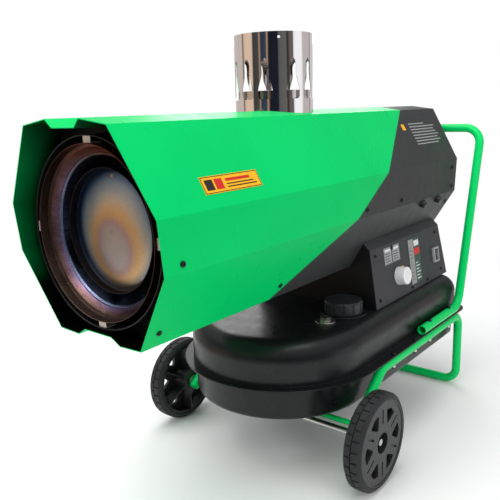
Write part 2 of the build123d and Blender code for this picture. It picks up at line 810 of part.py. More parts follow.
def tank_outline(grow_side, grow_front, grow_rear, rear_round):
    """D shaped outline: a half circle in front, straight sides and rounded rear corners."""
    half = tank_half_width + grow_side
    nose_y = tank_centre_y + grow_side - grow_front
    rear_y = tank_rear_y + grow_rear
    nose = Pos(0, nose_y) * Circle(half)
    body = Pos(0, (nose_y + rear_y) / 2) * Rectangle(2 * half, rear_y - nose_y)
    body = fillet(body.vertices().group_by(Axis.Y)[-1], rear_round)
    return nose + body


def tank_block(inset, z0, z1, rounded_top, radius):
    face = tank_outline(-inset, -inset, -inset, tank_rear_round - inset)
    block = extrude(Pos(0, 0, z0) * face, amount=z1 - z0)
    edge = block.edges().group_by(Axis.Z)[-1 if rounded_top else 0]
    return fillet(edge, radius)


def tank_flange(z0):
    return extrude(Pos(0, 0, z0) * tank_outline(flange_side, flange_front, flange_rear, tank_rear_round + flange_rear),
                   amount=tank_sheet)


def rail_bolt_places():
    return [(s * tube_half_span, front_tip + d) for s in (-1, 1) for d in bolt_from_tip]


def handle_bolt_places():
    return [(s * tube_half_span, front_tip + d) for s in (-1, 1) for d in handle_bolt_from_tip]


def bolt_holes(z0, z1):
    return [disc_z(bolt_radius, x, y, z0, z1) for x, y in rail_bolt_places() + handle_bolt_places()]


filler_y = front_tip + filler_from_tip
gauge_y = front_tip + gauge_from_tip
gauge_x = filler_x
pump_x = -60.0
pump_y = housing_y + 130.0
pump_z = tank_top + housing_sheet + 26.0
pump_reach = 35.0
pickup_x = pump_x
pickup_y = pump_y + pump_reach + 2 * line_bend
pickup_radius = 5.0
drain_y = tank_centre_y
drain_radius = 9.0
cap_base = tank_top + collar_height + cap_lip_gap
cap_top = cap_base + cap_height
neck_top = cap_top - cap_skin - gasket_thickness - 2 * seat_gap


def make_tank_upper():
    outer = tank_block(0, tank_seam, tank_top, True, tank_top_round)
    inner = tank_block(tank_sheet, tank_seam - 1, tank_top - tank_sheet, True, tank_top_round - tank_sheet)
    shell = outer + tank_flange(tank_seam) - inner
    cuts = [
        disc_z(neck_radius, filler_x, filler_y, tank_top - 10, tank_top + 10),
        disc_z(gauge_hex_radius * 0.7, gauge_x, gauge_y, tank_top - 10, tank_top + 10),
        disc_z(pickup_radius, pickup_x, pickup_y, tank_top - 10, tank_top + 10),
    ]
    return shell - cuts - bolt_holes(tank_seam - 5, tank_seam + 5)


def make_tank_lower():
    outer = tank_block(pan_inset, tank_bottom, tank_seam, False, tank_bottom_round)
    inner = tank_block(pan_inset + tank_sheet, tank_bottom + tank_sheet, tank_seam + 1, False,
                       tank_bottom_round - tank_sheet)
    shell = outer + tank_flange(tank_seam - tank_sheet) - inner
    drain = disc_z(drain_radius * 0.6, 0, drain_y, tank_bottom - 5, tank_bottom + 5)
    return shell - drain - bolt_holes(tank_seam - 5, tank_seam + 5)


def make_neck():
    collar = disc_z(collar_radius, filler_x, filler_y, tank_top, tank_top + collar_height)
    collar = fillet(collar.edges().group_by(Axis.Z)[-1], collar_height * 0.6)
    neck = disc_z(neck_radius, filler_x, filler_y, tank_top - neck_depth, neck_top)
    bore = disc_z(neck_radius - neck_wall, filler_x, filler_y, tank_top - neck_depth - 1, neck_top + 1)
    screws = []
    for a in (30, 150, 270):
        x = filler_x + collar_screw_offset * cos(radians(a))
        y = filler_y + collar_screw_offset * sin(radians(a))
        screws.append(disc_z(screw_shank_radius, x, y, tank_top, tank_top + collar_height + screw_head_height / 2))
    return collar + neck - bore + screws


def make_cap():
    """Screw cap with wide facets between flutes, covering the filler neck."""
    body = disc_z(cap_radius, filler_x, filler_y, cap_base, cap_top)
    body = chamfer(body.edges().group_by(Axis.Z)[-1], 4.5, 2.5)
    flutes = []
    for i in range(cap_flutes):
        a = radians(360 * i / cap_flutes)
        flutes.append(disc_z(cap_flute_radius, filler_x + cap_radius * cos(a), filler_y + cap_radius * sin(a),
                             cap_base + 3, cap_top + 1))
    hollow = disc_z(neck_radius + running_gap, filler_x, filler_y, cap_base - 1, cap_top - cap_skin)
    dish = disc_z(cap_radius - 9, filler_x, filler_y, cap_top - cap_skin / 3, cap_top + 1)
    return body - flutes - hollow - dish


def make_gasket():
    z0 = neck_top + seat_gap
    return disc_z(neck_radius, filler_x, filler_y, z0, z0 + gasket_thickness, neck_radius - gasket_width)


def make_gauge():
    flange = disc_z(gauge_flange_radius, gauge_x, gauge_y, tank_top, tank_top + gauge_flange_height)
    flange = fillet(flange.edges().group_by(Axis.Z)[-1], 1)
    hexagon = extrude(Pos(gauge_x, gauge_y, tank_top + gauge_flange_height) * RegularPolygon(gauge_hex_radius, 6),
                      amount=gauge_hex_height)
    stem = disc_z(gauge_hex_radius * 0.7, gauge_x, gauge_y, tank_top - 2 * tank_sheet, tank_top)
    ears = []
    pin_z = tank_top - float_drop
    for side in (-1, 1):
        ear = Pos(gauge_x, gauge_y + side * 5, (tank_top + pin_z) / 2 - 3) * Box(8, 2, tank_top - pin_z + 2)
        ears.append(ear)
    pin = Pos(gauge_x, 0, pin_z) * along_y(Circle(1.5), gauge_y - 6, gauge_y + 6)
    return flange + hexagon + stem + ears + pin


def make_float():
    """Float and arm of the level gauge, hung on the pin inside the tank."""
    pin_z = tank_top - float_drop
    eye = Pos(gauge_x, 0, pin_z) * along_y(Circle(4) - Circle(1.5 + shaft_gap), gauge_y - 2.5, gauge_y + 2.5)
    arm = Pos(gauge_x - float_arm / 2 - 1.5, gauge_y, pin_z) * Box(float_arm - 3, 2, 3)
    bulb = Pos(gauge_x - float_arm - float_radius * 0.6, 0, pin_z) * along_y(
        Circle(float_radius), gauge_y - float_length / 2, gauge_y + float_length / 2)
    bulb = fillet(bulb.edges().filter_by(GeomType.CIRCLE), 5)
    return eye + arm + bulb


def make_drain_plug():
    z0 = tank_bottom - 7
    hexagon = extrude(Pos(0, drain_y, z0) * RegularPolygon(drain_radius, 6), amount=7)
    thread = disc_z(drain_radius * 0.6, 0, drain_y, tank_bottom - 1, tank_bottom + 6)
    return hexagon + thread


# Housing and controls

def housing_outline(inset, foot):
    """Cross section of the housing from its foot up, before the casing is taken out of it."""
    s = inset
    foot_x = housing_foot_half - s - (foot - tank_top) * tan(radians(lean_angle))
    right = [
        (foot_x, foot), (housing_fold_half - s, housing_fold_height),
        (housing_shoulder_half - s, housing_shoulder_height - s * 0.5), (corner_x - s, axis_height),
    ]
    left = [(-x, z) for x, z in reversed(right)]
    return closed_face(right + left)


housing_rear = housing_y + housing_length
rake_angle = degrees(atan2(housing_rear_rake, housing_fold_height - tank_top))
rake_normal = (0, -cos(radians(rake_angle)), -sin(radians(rake_angle)))


def casing_block():
    return along_y(casing_outline(0), front_tip - 10, axis_rear + 100)


def make_housing():
    """Folded box that carries the casing on the tank, open at both sides behind its panels."""
    outer = along_y(housing_outline(panel_sheet, tank_top), housing_y, housing_rear + 5)
    outer = keep_side(outer, (0, housing_rear, tank_top), rake_normal)
    inner = along_y(housing_outline(panel_sheet + housing_sheet, tank_top + housing_sheet), housing_y + housing_sheet,
                    housing_rear + 5)
    inner_point = (0, housing_rear - housing_sheet / cos(radians(rake_angle)), tank_top)
    inner = keep_side(inner, inner_point, rake_normal)
    box = outer - inner
    rim = housing_rim
    window = closed_face([
        (housing_y + rim, tank_top + rim), (housing_rear - rim * 1.4, tank_top + rim),
        (housing_rear - housing_rear_rake - rim * 1.1, housing_fold_height - rim),
        (housing_y + rim, housing_fold_height - rim)])
    opening = extrude(Plane.YZ * window, amount=housing_foot_half * 2, both=True)
    middle = Pos(0, (housing_y + housing_rear) / 2, housing_fold_height) * Box(
        2 * (housing_fold_half - rim), housing_length * 2, casing_height)
    box = box - (opening - middle) - casing_block()
    holes = []
    for frame in panel_screw_frames():
        hole = shank_hole(frame, panel_screw_shank_radius, panel_screw_shank)
        holes += [hole, mirrored(hole)]
    holes.append(disc_z(pickup_radius + hole_gap, pickup_x, pickup_y, tank_top - 1, tank_top + 5))
    return box - holes



def panel_frame(y, z):
    """Plane on the outside of the leaning panel of the +X side, with its x axis along the heater."""
    x = housing_foot_half - (z - tank_top) * tan(radians(lean_angle))
    tilt = radians(lean_angle)
    return Plane((x, y, z), x_dir=(0, 1, 0), z_dir=(cos(tilt), 0, sin(tilt)))


def panel_screw_frames():
    low = tank_top + panel_screw_margin
    high = housing_fold_height - 2 * panel_screw_margin
    front = housing_y + 2.5 * panel_screw_margin
    back = housing_rear - housing_rear_rake - panel_screw_margin
    return [
        panel_frame(front, low + panel_screw_margin), panel_frame(housing_y + panel_screw_mid, low),
        panel_frame(housing_y + panel_screw_back, low), panel_frame(back, low + panel_screw_margin),
        panel_frame(front, high), panel_frame(back - 2 * panel_screw_margin, high),
    ]


def panel_blank():
    """Outer skin of one side: the leaning face, and the strip that is folded in to the casing."""
    outer = housing_outline(0, tank_top)
    skin = outer - housing_outline(panel_sheet, tank_top - panel_sheet)
    right_side = Pos(housing_foot_half, (tank_top + axis_height) / 2) * Rectangle(housing_foot_half, axis_height - tank_top + 40)
    skin = skin & right_side
    body = along_y(skin, housing_y, housing_rear + 5)
    body = keep_side(body, (0, housing_rear, tank_top), rake_normal)
    return body - casing_block()


def make_panel(with_controls):
    panel = panel_blank()
    holes = [shank_hole(f, panel_screw_shank_radius, panel_screw_shank) for f in panel_screw_frames()]
    panel = panel - holes
    if with_controls:
        panel = panel - shank_hole(knob_frame(), spindle_radius + hole_gap, 10)
        frame = switch_frame()
        hole = extrude(frame.offset(5) * Rectangle(switch_width - 2 * bezel_rim, switch_height - 2 * bezel_rim), amount=-12)
        panel = panel - hole
    return panel


def knob_frame():
    return panel_frame(front_tip + knob_from_tip, knob_z)


def switch_frame():
    return panel_frame(front_tip + switch_from_tip, switch_z)


def make_panel_screws():
    solids = []
    for frame in panel_screw_frames():
        screw = screw_at(frame, panel_screw_radius, panel_screw_height, panel_screw_shank_radius, panel_screw_shank)
        solids += [screw, mirrored(screw)]
    return solids


def make_knob():
    """Ribbed dial and its spindle, which turns in the thermostat behind the panel."""
    frame = knob_frame()
    base = frame.offset(label_thickness + seat_gap)
    body = extrude(base * Circle(knob_radius), amount=knob_height, taper=3)
    top_edge = body.edges().group_by(lambda e: (e.center() - base.origin).dot(base.z_dir))[-1]
    body = fillet(top_edge, 2)
    grooves = []
    for i in range(knob_ribs):
        a = radians(360 * i / knob_ribs)
        place = base.offset(3) * Pos((knob_radius - 0.1) * cos(a), (knob_radius - 0.1) * sin(a))
        grooves.append(place * extrude(Circle(0.9), amount=knob_height - 7))
    pointer = base.offset(knob_height - 0.8) * Pos(0, knob_radius * 0.55) * extrude(
        Rectangle(2, knob_radius * 0.5), amount=2)
    spindle = extrude(base * Circle(spindle_radius), amount=-spindle_length)
    return body - grooves - pointer + spindle


def make_thermostat():
    frame = knob_frame()
    back = frame.offset(-panel_sheet)
    can = extrude(back * Rectangle(thermostat_width, thermostat_width), amount=-thermostat_depth)
    bore = extrude(frame.offset(5) * Circle(spindle_radius + shaft_gap), amount=-(spindle_length + 5 + 2))
    return can - bore


def make_bezel():
    frame = switch_frame()
    bezel = extrude(frame * Rectangle(switch_width, switch_height), amount=bezel_height)
    top = bezel.edges().group_by(lambda e: (e.center() - frame.origin).dot(frame.z_dir))[-1]
    bezel = fillet(top, 1.5)
    tub = extrude(frame * Rectangle(switch_width - 2 * bezel_rim, switch_height - 2 * bezel_rim), amount=-switch_depth)
    inner_w = switch_width - 2 * bezel_rim - 2 * rocker_clearance
    inner_h = switch_height - 2 * bezel_rim - 2 * rocker_clearance
    pocket = extrude(frame.offset(bezel_height + 1) * Rectangle(inner_w, inner_h), amount=-(bezel_height + 1 + 12))
    pin = Plane(frame.offset(-1).origin, x_dir=frame.y_dir, z_dir=frame.x_dir)
    rod = extrude(pin * Circle(rocker_pin_radius), amount=(inner_w + rocker_clearance) / 2, both=True)
    return bezel + tub - pocket + rod


def make_rocker():
    """Rocker paddle, two faces meeting over its pin."""
    frame = switch_frame()
    w = switch_width - 2 * bezel_rim - 2 * rocker_clearance - 2 * rocker_clearance
    h = switch_height - 2 * bezel_rim - 2 * rocker_clearance - 2 * rocker_clearance
    top = bezel_height - 1
    profile = closed_face([
        (-h / 2 + 1.2, -5), (-h / 2 + 0.8, top - 2.6), (0, top - 5.4), (h / 2 - 2.8, top + 1.6), (h / 2 - 1.6, -3), (0, -7)])
    section = Plane(frame.origin, x_dir=frame.y_dir, z_dir=frame.x_dir) * profile
    body = extrude(section, amount=w / 2, both=True)
    pin = Plane(frame.offset(-1).origin, x_dir=frame.y_dir, z_dir=frame.x_dir)
    bore = extrude(pin * Circle(rocker_pin_radius + shaft_gap), amount=w, both=True)
    return body - bore


def label_on_panel(from_tip, z, width, height):
    frame = panel_frame(front_tip + from_tip, z)
    return extrude(frame * Rectangle(width, height), amount=label_thickness)


def make_grey_plates():
    """Two plain grey plates over the knob."""
    return [label_on_panel(d, small_plate_z, small_plate_width, small_plate_height) for d in small_plates_from_tip]


def make_yellow_plates():
    """Plain yellow plates: a small one beside the knob, a long one on the upper facet of the casing."""
    small = label_on_panel(knob_from_tip + knob_plate_shift, knob_z, knob_plate_size, knob_plate_size)
    small = small - extrude(knob_frame().offset(2) * Circle(spindle_radius + hole_gap), amount=-4)
    frame = facet_frame(front_tip + side_plate_from_tip, side_plate_z, False)
    return [small, extrude(frame * Rectangle(side_plate_length, side_plate_height), amount=label_thickness)]


def make_name_plate():
    return label_on_panel(name_plate_from_tip, name_plate_z, name_plate_width, name_plate_height)


# Electrical and fuel parts inside the housing

def make_transformer():
    y = housing_y + 250
    body = Pos(-60, y, tank_top + housing_sheet + 28) * Box(90, 70, 56)
    body = fillet(body.edges().filter_by(Axis.Z), 4)
    posts = [Pos(-60 + s * 22, y, tank_top + housing_sheet + 56 + 5) * Cylinder(7, 10) for s in (-1, 1)]
    return body + posts


def make_circuit_board():
    y = housing_y + 170
    board = Pos(60, y, tank_top + housing_sheet + 10) * Box(90, 110, 1.6)
    posts = [Pos(60 + sx * 38, y + sy * 48, tank_top + housing_sheet + 4.6) * Cylinder(3, 9.2)
             for sx in (-1, 1) for sy in (-1, 1)]
    relays = [Pos(60 + dx, y + dy, tank_top + housing_sheet + 10.8 + 8) * Box(16, 22, 16)
              for dx, dy in ((-25, 20), (0, 20), (25, 20))]
    cap = Pos(80, y - 30, tank_top + housing_sheet + 10.8 + 11) * Cylinder(9, 22)
    return board + posts + relays + cap


def make_fuel_pump():
    """Solenoid pump on a foot, with its unions at both ends."""
    foot_z = tank_top + housing_sheet
    coil = Pos(pump_x, 0, pump_z) * along_y(Circle(22), pump_y - 20, pump_y + 20)
    foot = Pos(pump_x, pump_y, foot_z + 2) * Box(54, 44, 4)
    web = Pos(pump_x, pump_y, (foot_z + pump_z) / 2) * Box(20, 30, pump_z - foot_z)
    unions = Pos(pump_x, 0, pump_z) * along_y(Circle(2 * line_radius), pump_y - pump_reach, pump_y + pump_reach)
    return coil + foot + web + unions


def bent_line(points, radius, corner):
    """Round bar along straight runs joined by arcs."""
    path = FilletPolyline(*points, radius=corner)
    start = Plane(points[0], z_dir=Vector(*points[1]) - Vector(*points[0]))
    return sweep(start * Circle(radius), path=path)


def make_suction_pipe():
    """Suction pipe from its strainer near the bottom of the tank to the pump."""
    points = [
        (pickup_x, pickup_y, tank_bottom + 24), (pickup_x, pickup_y, pump_z), (pump_x, pump_y + pump_reach, pump_z),
    ]
    grommet = disc_z(pickup_radius, pickup_x, pickup_y, tank_top - 4, tank_top + 6)
    strainer = disc_z(3 * line_radius, pickup_x, pickup_y, tank_bottom + 10, tank_bottom + 34)
    return bent_line(points, line_radius, line_bend) + grommet + strainer


def make_feed_pipe():
    """Pressure pipe from the pump, up through the casing and the duct to the stem of the nozzle."""
    points = [
        (pump_x, pump_y - pump_reach, pump_z), (pump_x, feed_y, pump_z), (0, feed_y, pump_z),
        (0, feed_y, axis_height - nozzle_radius * 0.6),
    ]
    return bent_line(points, line_radius, line_bend)


# Chassis

def tube_shapes(points, corner):
    """Outside and bore of a tube bent along straight runs joined by arcs."""
    path = FilletPolyline(*points, radius=corner)
    start = Plane(points[0], z_dir=Vector(*points[1]) - Vector(*points[0]))
    outer = sweep(start * Circle(tube_radius), path=path)
    bore = sweep(start * Circle(tube_radius - tube_wall), path=path)
    return outer, bore


leg_y = front_tip + leg_from_tip
frame_slope_y = front_tip + rail_bend_from_tip
axle_end_gap = 16.0
brace_step = axle_radius + 2 * brace_radius


def make_frame():
    """One bent tube: from the axle up to the rail, back to the leg, down, across the floor and back again."""
    dy = frame_slope_y - wheel_y
    dz = rail_z - axle_z
    length = sqrt(dy * dy + dz * dz)
    tip_y = wheel_y - dy / length * axle_end_gap
    tip_z = axle_z - dz / length * axle_end_gap
    right = [
        (tube_half_span, tip_y, tip_z), (tube_half_span, frame_slope_y, rail_z), (tube_half_span, leg_y, rail_z),
        (tube_half_span, leg_y, tube_radius),
    ]
    left = [(-x, y, z) for x, y, z in reversed(right)]
    outer, bore = tube_shapes(right + left, bend_radius)
    brace_y = wheel_y + dy / length * brace_step
    brace_z = axle_z + dz / length * brace_step
    brace = rod_x(brace_radius, -tube_half_span, tube_half_span, brace_y, brace_z)
    axle_hole = rod_x(axle_radius, -tube_half_span - 30, tube_half_span + 30, wheel_y, axle_z)
    return outer + brace - bore - axle_hole - bolt_holes(rail_z - 20, rail_z + 20)


def make_handle():
    """Bent push handle: open tube ends on the flange, two leaning uprights and a grip across the top."""
    start_y = front_tip + handle_from_tip
    bend_y = front_tip + handle_bend_from_tip
    top_y = front_tip + handle_top_from_tip
    right = [
        (tube_half_span, start_y, handle_z), (tube_half_span, bend_y, handle_z), (tube_half_span, top_y, handle_top),
    ]
    left = [(-x, y, z) for x, y, z in reversed(right)]
    outer, bore = tube_shapes(right + left, handle_bend_radius)
    return outer - bore - bolt_holes(handle_z - 20, handle_z + 20)


def make_bolts():
    solids = []
    for x, y in rail_bolt_places():
        top = tank_seam + tank_sheet
        solids.append((x, y, top))
    for x, y in handle_bolt_places():
        solids.append((x, y, handle_z + tube_radius))
    bolts = []
    nut_top = rail_z - tube_radius
    for x, y, top in solids:
        shank = disc_z(bolt_radius, x, y, nut_top - nut_height - 3, top)
        head = disc_z(bolt_head_radius, x, y, top, top + bolt_head_height)
        head = fillet(head.edges().group_by(Axis.Z)[-1], bolt_head_height * 0.6)
        bolts.append(shank + head)
    return bolts


def make_nuts():
    nut_top = rail_z - tube_radius
    nuts = []
    for x, y in rail_bolt_places() + handle_bolt_places():
        nut = extrude(Pos(x, y, nut_top - nut_height) * RegularPolygon(bolt_head_radius, 6), amount=nut_height)
        nuts.append(nut - disc_z(bolt_radius, x, y, nut_top - nut_height - 1, nut_top + 1))
    return nuts


# Wheels

wheel_inner_x = wheel_outer_x - wheel_width
hub_face_x = wheel_outer_x - hub_recess_depth
hub_inner_x = tube_half_span + tube_radius + axle_washer_thickness + running_gap
axle_end_x = wheel_outer_x - axle_end_margin


def wheel_profile(points):
    frame = Plane((0, wheel_y, axle_z), x_dir=(0, 0, 1), z_dir=(0, -1, 0))
    face = frame * closed_face([(r, -x) for x, r in points])
    return revolve(face, axis=Axis((0, wheel_y, axle_z), (1, 0, 0)))


def turned(shape, angle):
    return Pos(0, wheel_y, axle_z) * Rot(angle, 0, 0) * Pos(0, -wheel_y, -axle_z) * shape


def make_tyre():
    s = tyre_shoulder
    x0, x1 = wheel_inner_x, wheel_outer_x
    r = wheel_radius
    tyre = wheel_profile([
        (x0 + 1, tyre_bore), (x1 - 1, tyre_bore), (x1, tyre_bore + 3), (x1 - 1.5, r - s), (x1 - s, r - 0.6),
        ((x0 + x1) / 2, r), (x0 + s, r - 0.6), (x0 + 1.5, r - s), (x0, tyre_bore + 3)])
    cuts = []
    groove = rod_x(r + 1, (x0 + x1) / 2 - 1.1, (x0 + x1) / 2 + 1.1, wheel_y, axle_z, r - tread_depth)
    cuts.append(groove)
    half = (x1 - x0) / 2
    for i in range(tread_blocks):
        for side in (0, 1):
            cx = x0 + half / 2 + side * half
            cut = Pos(cx, wheel_y, axle_z + r) * Box(half - 2, tread_groove, 2 * tread_depth)
            cuts.append(turned(cut, 360 * (i + 0.5 * side) / tread_blocks))
    return tyre - cuts


def window_face():
    outer = [(-window_half_width, window_outer - 4), (0, window_outer + 2), (window_half_width, window_outer - 4)]
    face = closed_face([(0, window_inner)] + [outer[2], outer[1], outer[0]])
    return fillet(face.vertices(), 4)


def make_rim():
    x0, x1 = wheel_inner_x, wheel_outer_x
    barrel = rod_x(tyre_bore, x0 + 3, x1 - web_inset, wheel_y, axle_z, tyre_bore - rim_wall)
    web_x1 = x1 - web_inset
    web = rod_x(tyre_bore, web_x1 - web_thickness, web_x1, wheel_y, axle_z)
    lip = rod_x(tyre_bore, web_x1, web_x1 + 1.4, wheel_y, axle_z, tyre_bore - 2.5)
    hub = rod_x(hub_radius, hub_inner_x, web_x1, wheel_y, axle_z)
    rim = barrel + web + lip + hub
    face = window_face()
    place = Plane((x1 - 2 * web_thickness, wheel_y, axle_z), x_dir=(0, 1, 0), z_dir=(1, 0, 0))
    window = extrude(place * face, amount=3 * web_thickness)
    slot_mid = (slot_inner + slot_outer) / 2
    slot = Pos(x1, wheel_y, axle_z + slot_mid) * Box(2 * web_thickness, slot_width, slot_outer - slot_inner)
    rib = Pos((hub_inner_x + web_x1) / 2 + 4, wheel_y, axle_z + (hub_radius + tyre_bore - rim_wall) / 2) * Box(
        web_x1 - hub_inner_x - 12, rib_thickness, tyre_bore - rim_wall - hub_radius + 2)
    for i in range(window_count):
        a = 360 * i / window_count
        rim = rim + turned(rib, a)
    cuts = []
    for i in range(window_count):
        a = 360 * i / window_count
        cuts.append(turned(window, a + 180 / window_count))
    shallow = rod_x(window_outer + 4, web_x1 - 3, web_x1 + 1, wheel_y, axle_z)
    for i in range(window_count):
        cuts.append(turned(slot & shallow, 360 * i / window_count))
    recess = rod_x(hub_recess_radius, hub_face_x, x1 + 5, wheel_y, axle_z)
    bore = rod_x(axle_radius + shaft_gap, hub_inner_x - 5, x1 + 5, wheel_y, axle_z)
    return rim - cuts - recess - bore


def make_axle():
    return rod_x(axle_radius, -axle_end_x, axle_end_x, wheel_y, axle_z)


def make_axle_washers():
    """Washers between frame and hub, and outside the hub."""
    solids = []
    inner0 = tube_half_span + tube_radius + seat_gap / 2
    outer0 = hub_face_x + seat_gap
    for x0 in (inner0, outer0):
        washer = rod_x(axle_washer_radius, x0, x0 + axle_washer_thickness, wheel_y, axle_z, axle_radius)
        solids += [washer, mirrored(washer)]
    return solids


def make_split_pins():
    x = hub_face_x + 2 * seat_gap + axle_washer_thickness + split_pin_radius
    pin = disc_z(split_pin_radius, x, wheel_y, axle_z - axle_radius - 6, axle_z + axle_radius + 6)
    return [pin, mirrored(pin)]


def make_axle_drilled():
    pins = make_split_pins()
    return make_axle() - pins


def as_shape(item):
    if isinstance(item, (list, ShapeList)):
        return Compound(children=[s for p in item for s in p.solids()])
    solids = item.solids()
    return solids[0] if len(solids) == 1 else Compound(children=list(solids))


def build_parts():
    front, rear = make_casings()
    tyre = make_tyre()
    rim = make_rim()
    parts = {
        "front_casing": front,
        "rear_casing": rear,
        "casing_screws": make_casing_screws(),
        "cable_glands": make_glands(),
        "front_plate": make_end_plate(front_tip + front_plate_from_tip, liner_radius, plate_flange, True),
        "rear_plate": make_end_plate(front_tip + rear_plate_from_tip, liner_radius - 4, -plate_flange, True),
        "duct_liner": make_liner(),
        "heat_exchanger": make_exchanger(),
        "combustion_drum": make_drum(),
        "drum_dome": make_dome(),
        "gas_crossover": make_crossover(),
        "spacer_clips": make_clips(),
        "inner_straps": make_rear_supports() + make_drum_straps(),
        "flue_spigot": make_flue(),
        "draft_sleeve": make_sleeve(),
        "flame_tube": make_flame_tube(),
        "burner_nozzle": make_nozzle(),
        "ignition_electrodes": make_electrodes(),
        "burner_air_box": make_burner_box(),
        "blower_wheel": make_impeller(),
        "fan_motor": make_motor(),
        "motor_shaft": make_motor_shaft(),
        "motor_bracket": make_motor_bracket(),
        "fan_blades": make_fan(),
        "intake_guard": make_guard(),
        "tank_upper": make_tank_upper(),
        "tank_lower": make_tank_lower(),
        "filler_neck": make_neck(),
        "fuel_cap": make_cap(),
        "cap_seal": make_gasket(),
        "fuel_gauge": make_gauge(),
        "gauge_float": make_float(),
        "drain_plug": make_drain_plug(),
        "support_housing": make_housing(),
        "control_panel": make_panel(True),
        "service_panel": mirrored(make_panel(False)),
        "panel_screws": make_panel_screws(),
        "thermostat_knob": make_knob(),
        "thermostat": make_thermostat(),
        "switch_bezel": make_bezel(),
        "switch_rocker": make_rocker(),
        "grey_plates": make_grey_plates(),
        "yellow_plates": make_yellow_plates(),
        "name_plate": make_name_plate(),
        "ignition_transformer": make_transformer(),
        "circuit_board": make_circuit_board(),
        "fuel_pump": make_fuel_pump(),
        "suction_pipe": make_suction_pipe(),
        "feed_pipe": make_feed_pipe(),
        "frame_tube": make_frame(),
        "handle_tube": make_handle(),
        "frame_bolts": make_bolts(),
        "frame_nuts": make_nuts(),
        "axle": make_axle_drilled(),
        "axle_washers": make_axle_washers(),
        "split_pins": make_split_pins(),
        "right_tyre": tyre,
        "right_rim": rim,
        "left_tyre": mirrored(tyre),
        "left_rim": mirrored(rim),
    }
    return parts


os.makedirs("parts", exist_ok=True)
for name, shape in build_parts().items():
    export_step(as_shape(shape), os.path.join("parts", name + ".step"))
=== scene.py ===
import math
import bmesh
import bpy
from mathutils import Matrix, Vector


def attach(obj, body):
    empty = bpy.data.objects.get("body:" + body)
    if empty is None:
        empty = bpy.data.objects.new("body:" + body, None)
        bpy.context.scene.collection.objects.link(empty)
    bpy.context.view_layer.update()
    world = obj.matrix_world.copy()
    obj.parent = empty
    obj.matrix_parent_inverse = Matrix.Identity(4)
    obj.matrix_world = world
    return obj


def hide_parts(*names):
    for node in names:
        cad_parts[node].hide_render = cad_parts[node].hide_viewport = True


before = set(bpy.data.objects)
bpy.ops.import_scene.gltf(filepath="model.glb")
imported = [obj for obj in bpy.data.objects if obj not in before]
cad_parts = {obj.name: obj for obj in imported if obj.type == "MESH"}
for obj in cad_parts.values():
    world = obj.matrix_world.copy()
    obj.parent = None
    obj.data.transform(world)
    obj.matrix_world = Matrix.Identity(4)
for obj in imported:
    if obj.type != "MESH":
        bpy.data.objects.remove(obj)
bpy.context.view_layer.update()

scene = bpy.context.scene
scene.view_settings.view_transform = "Standard"
print("frame is in:", len(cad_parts), "pieces")


# camera, at the height and side that the photograph was taken from
cameraSettings = {
    "place": (0.8075, -1.1414, 0.7581),
    "right": (0.7790, 0.6262, -0.0318),
    "up": (-0.1126, 0.1897, 0.9753),
    "lens": 45.03,
    "sensor": 36.0,
    "near": 0.01,
}


def setCamera(settings):
    data = bpy.data.cameras.new("photoCamera")
    data.lens = settings["lens"]
    data.sensor_width = settings["sensor"]
    data.clip_start = settings["near"]
    camera = bpy.data.objects.new("photoCamera", data)
    scene.collection.objects.link(camera)
    right = Vector(settings["right"]).normalized()
    back = right.cross(Vector(settings["up"])).normalized()
    up = back.cross(right).normalized()
    turn = Matrix((right, up, back)).transposed()
    camera.matrix_world = Matrix.Translation(settings["place"]) @ turn.to_4x4()
    scene.camera = camera


setCamera(cameraSettings)


# small helpers that lay out material nodes

def newFinish(name, settings):
    material = bpy.data.materials.new(name)
    material.use_nodes = True
    shader = material.node_tree.nodes["Principled BSDF"]
    for socket, value in settings.items():
        shader.inputs[socket].default_value = value
    return material, material.node_tree, shader


def rgba(colour):
    return (colour[0], colour[1], colour[2], 1.0)


def addNode(tree, kind, **values):
    node = tree.nodes.new(kind)
    for key, value in values.items():
        setattr(node, key, value)
    return node


def objectPlace(tree, stretch=(1, 1, 1)):
    coordinates = addNode(tree, "ShaderNodeTexCoord")
    mapping = addNode(tree, "ShaderNodeMapping")
    mapping.inputs["Scale"].default_value = stretch
    tree.links.new(coordinates.outputs["Object"], mapping.inputs["Vector"])
    return mapping.outputs["Vector"]


def noise(tree, scale, detail=3.0, rough=0.5, stretch=(1, 1, 1), warp=0.0):
    node = addNode(tree, "ShaderNodeTexNoise")
    node.inputs["Scale"].default_value = scale
    node.inputs["Detail"].default_value = detail
    node.inputs["Roughness"].default_value = rough
    node.inputs["Distortion"].default_value = warp
    tree.links.new(objectPlace(tree, stretch), node.inputs["Vector"])
    return node.outputs["Fac"]


def ramp(tree, factor, stops):
    node = addNode(tree, "ShaderNodeValToRGB")
    elements = node.color_ramp.elements
    while len(elements) < len(stops):
        elements.new(0.5)
    for element, (position, colour) in zip(elements, stops):
        element.position = position
        element.color = rgba(colour)
    tree.links.new(factor, node.inputs["Fac"])
    return node.outputs["Color"]


def spread(tree, factor, low, high, fromLow=0.3, fromHigh=0.7):
    # noise mostly lies between 0.3 and 0.7, so that is taken as its full range
    node = addNode(tree, "ShaderNodeMapRange")
    sockets = ("From Min", "From Max", "To Min", "To Max")
    for socket, value in zip(sockets, (fromLow, fromHigh, low, high)):
        node.inputs[socket].default_value = value
    tree.links.new(factor, node.inputs["Value"])
    return node.outputs["Result"]


def share(tree, value, limits):
    # 0 at the first limit and 1 at the second
    return spread(tree, value, 0.0, 1.0, *limits)


def maths(tree, operation, first, second):
    node = addNode(tree, "ShaderNodeMath", operation=operation)
    for socket, value in zip(node.inputs, (first, second)):
        if isinstance(value, (int, float)):
            socket.default_value = value
        else:
            tree.links.new(value, socket)
    return node.outputs["Value"]


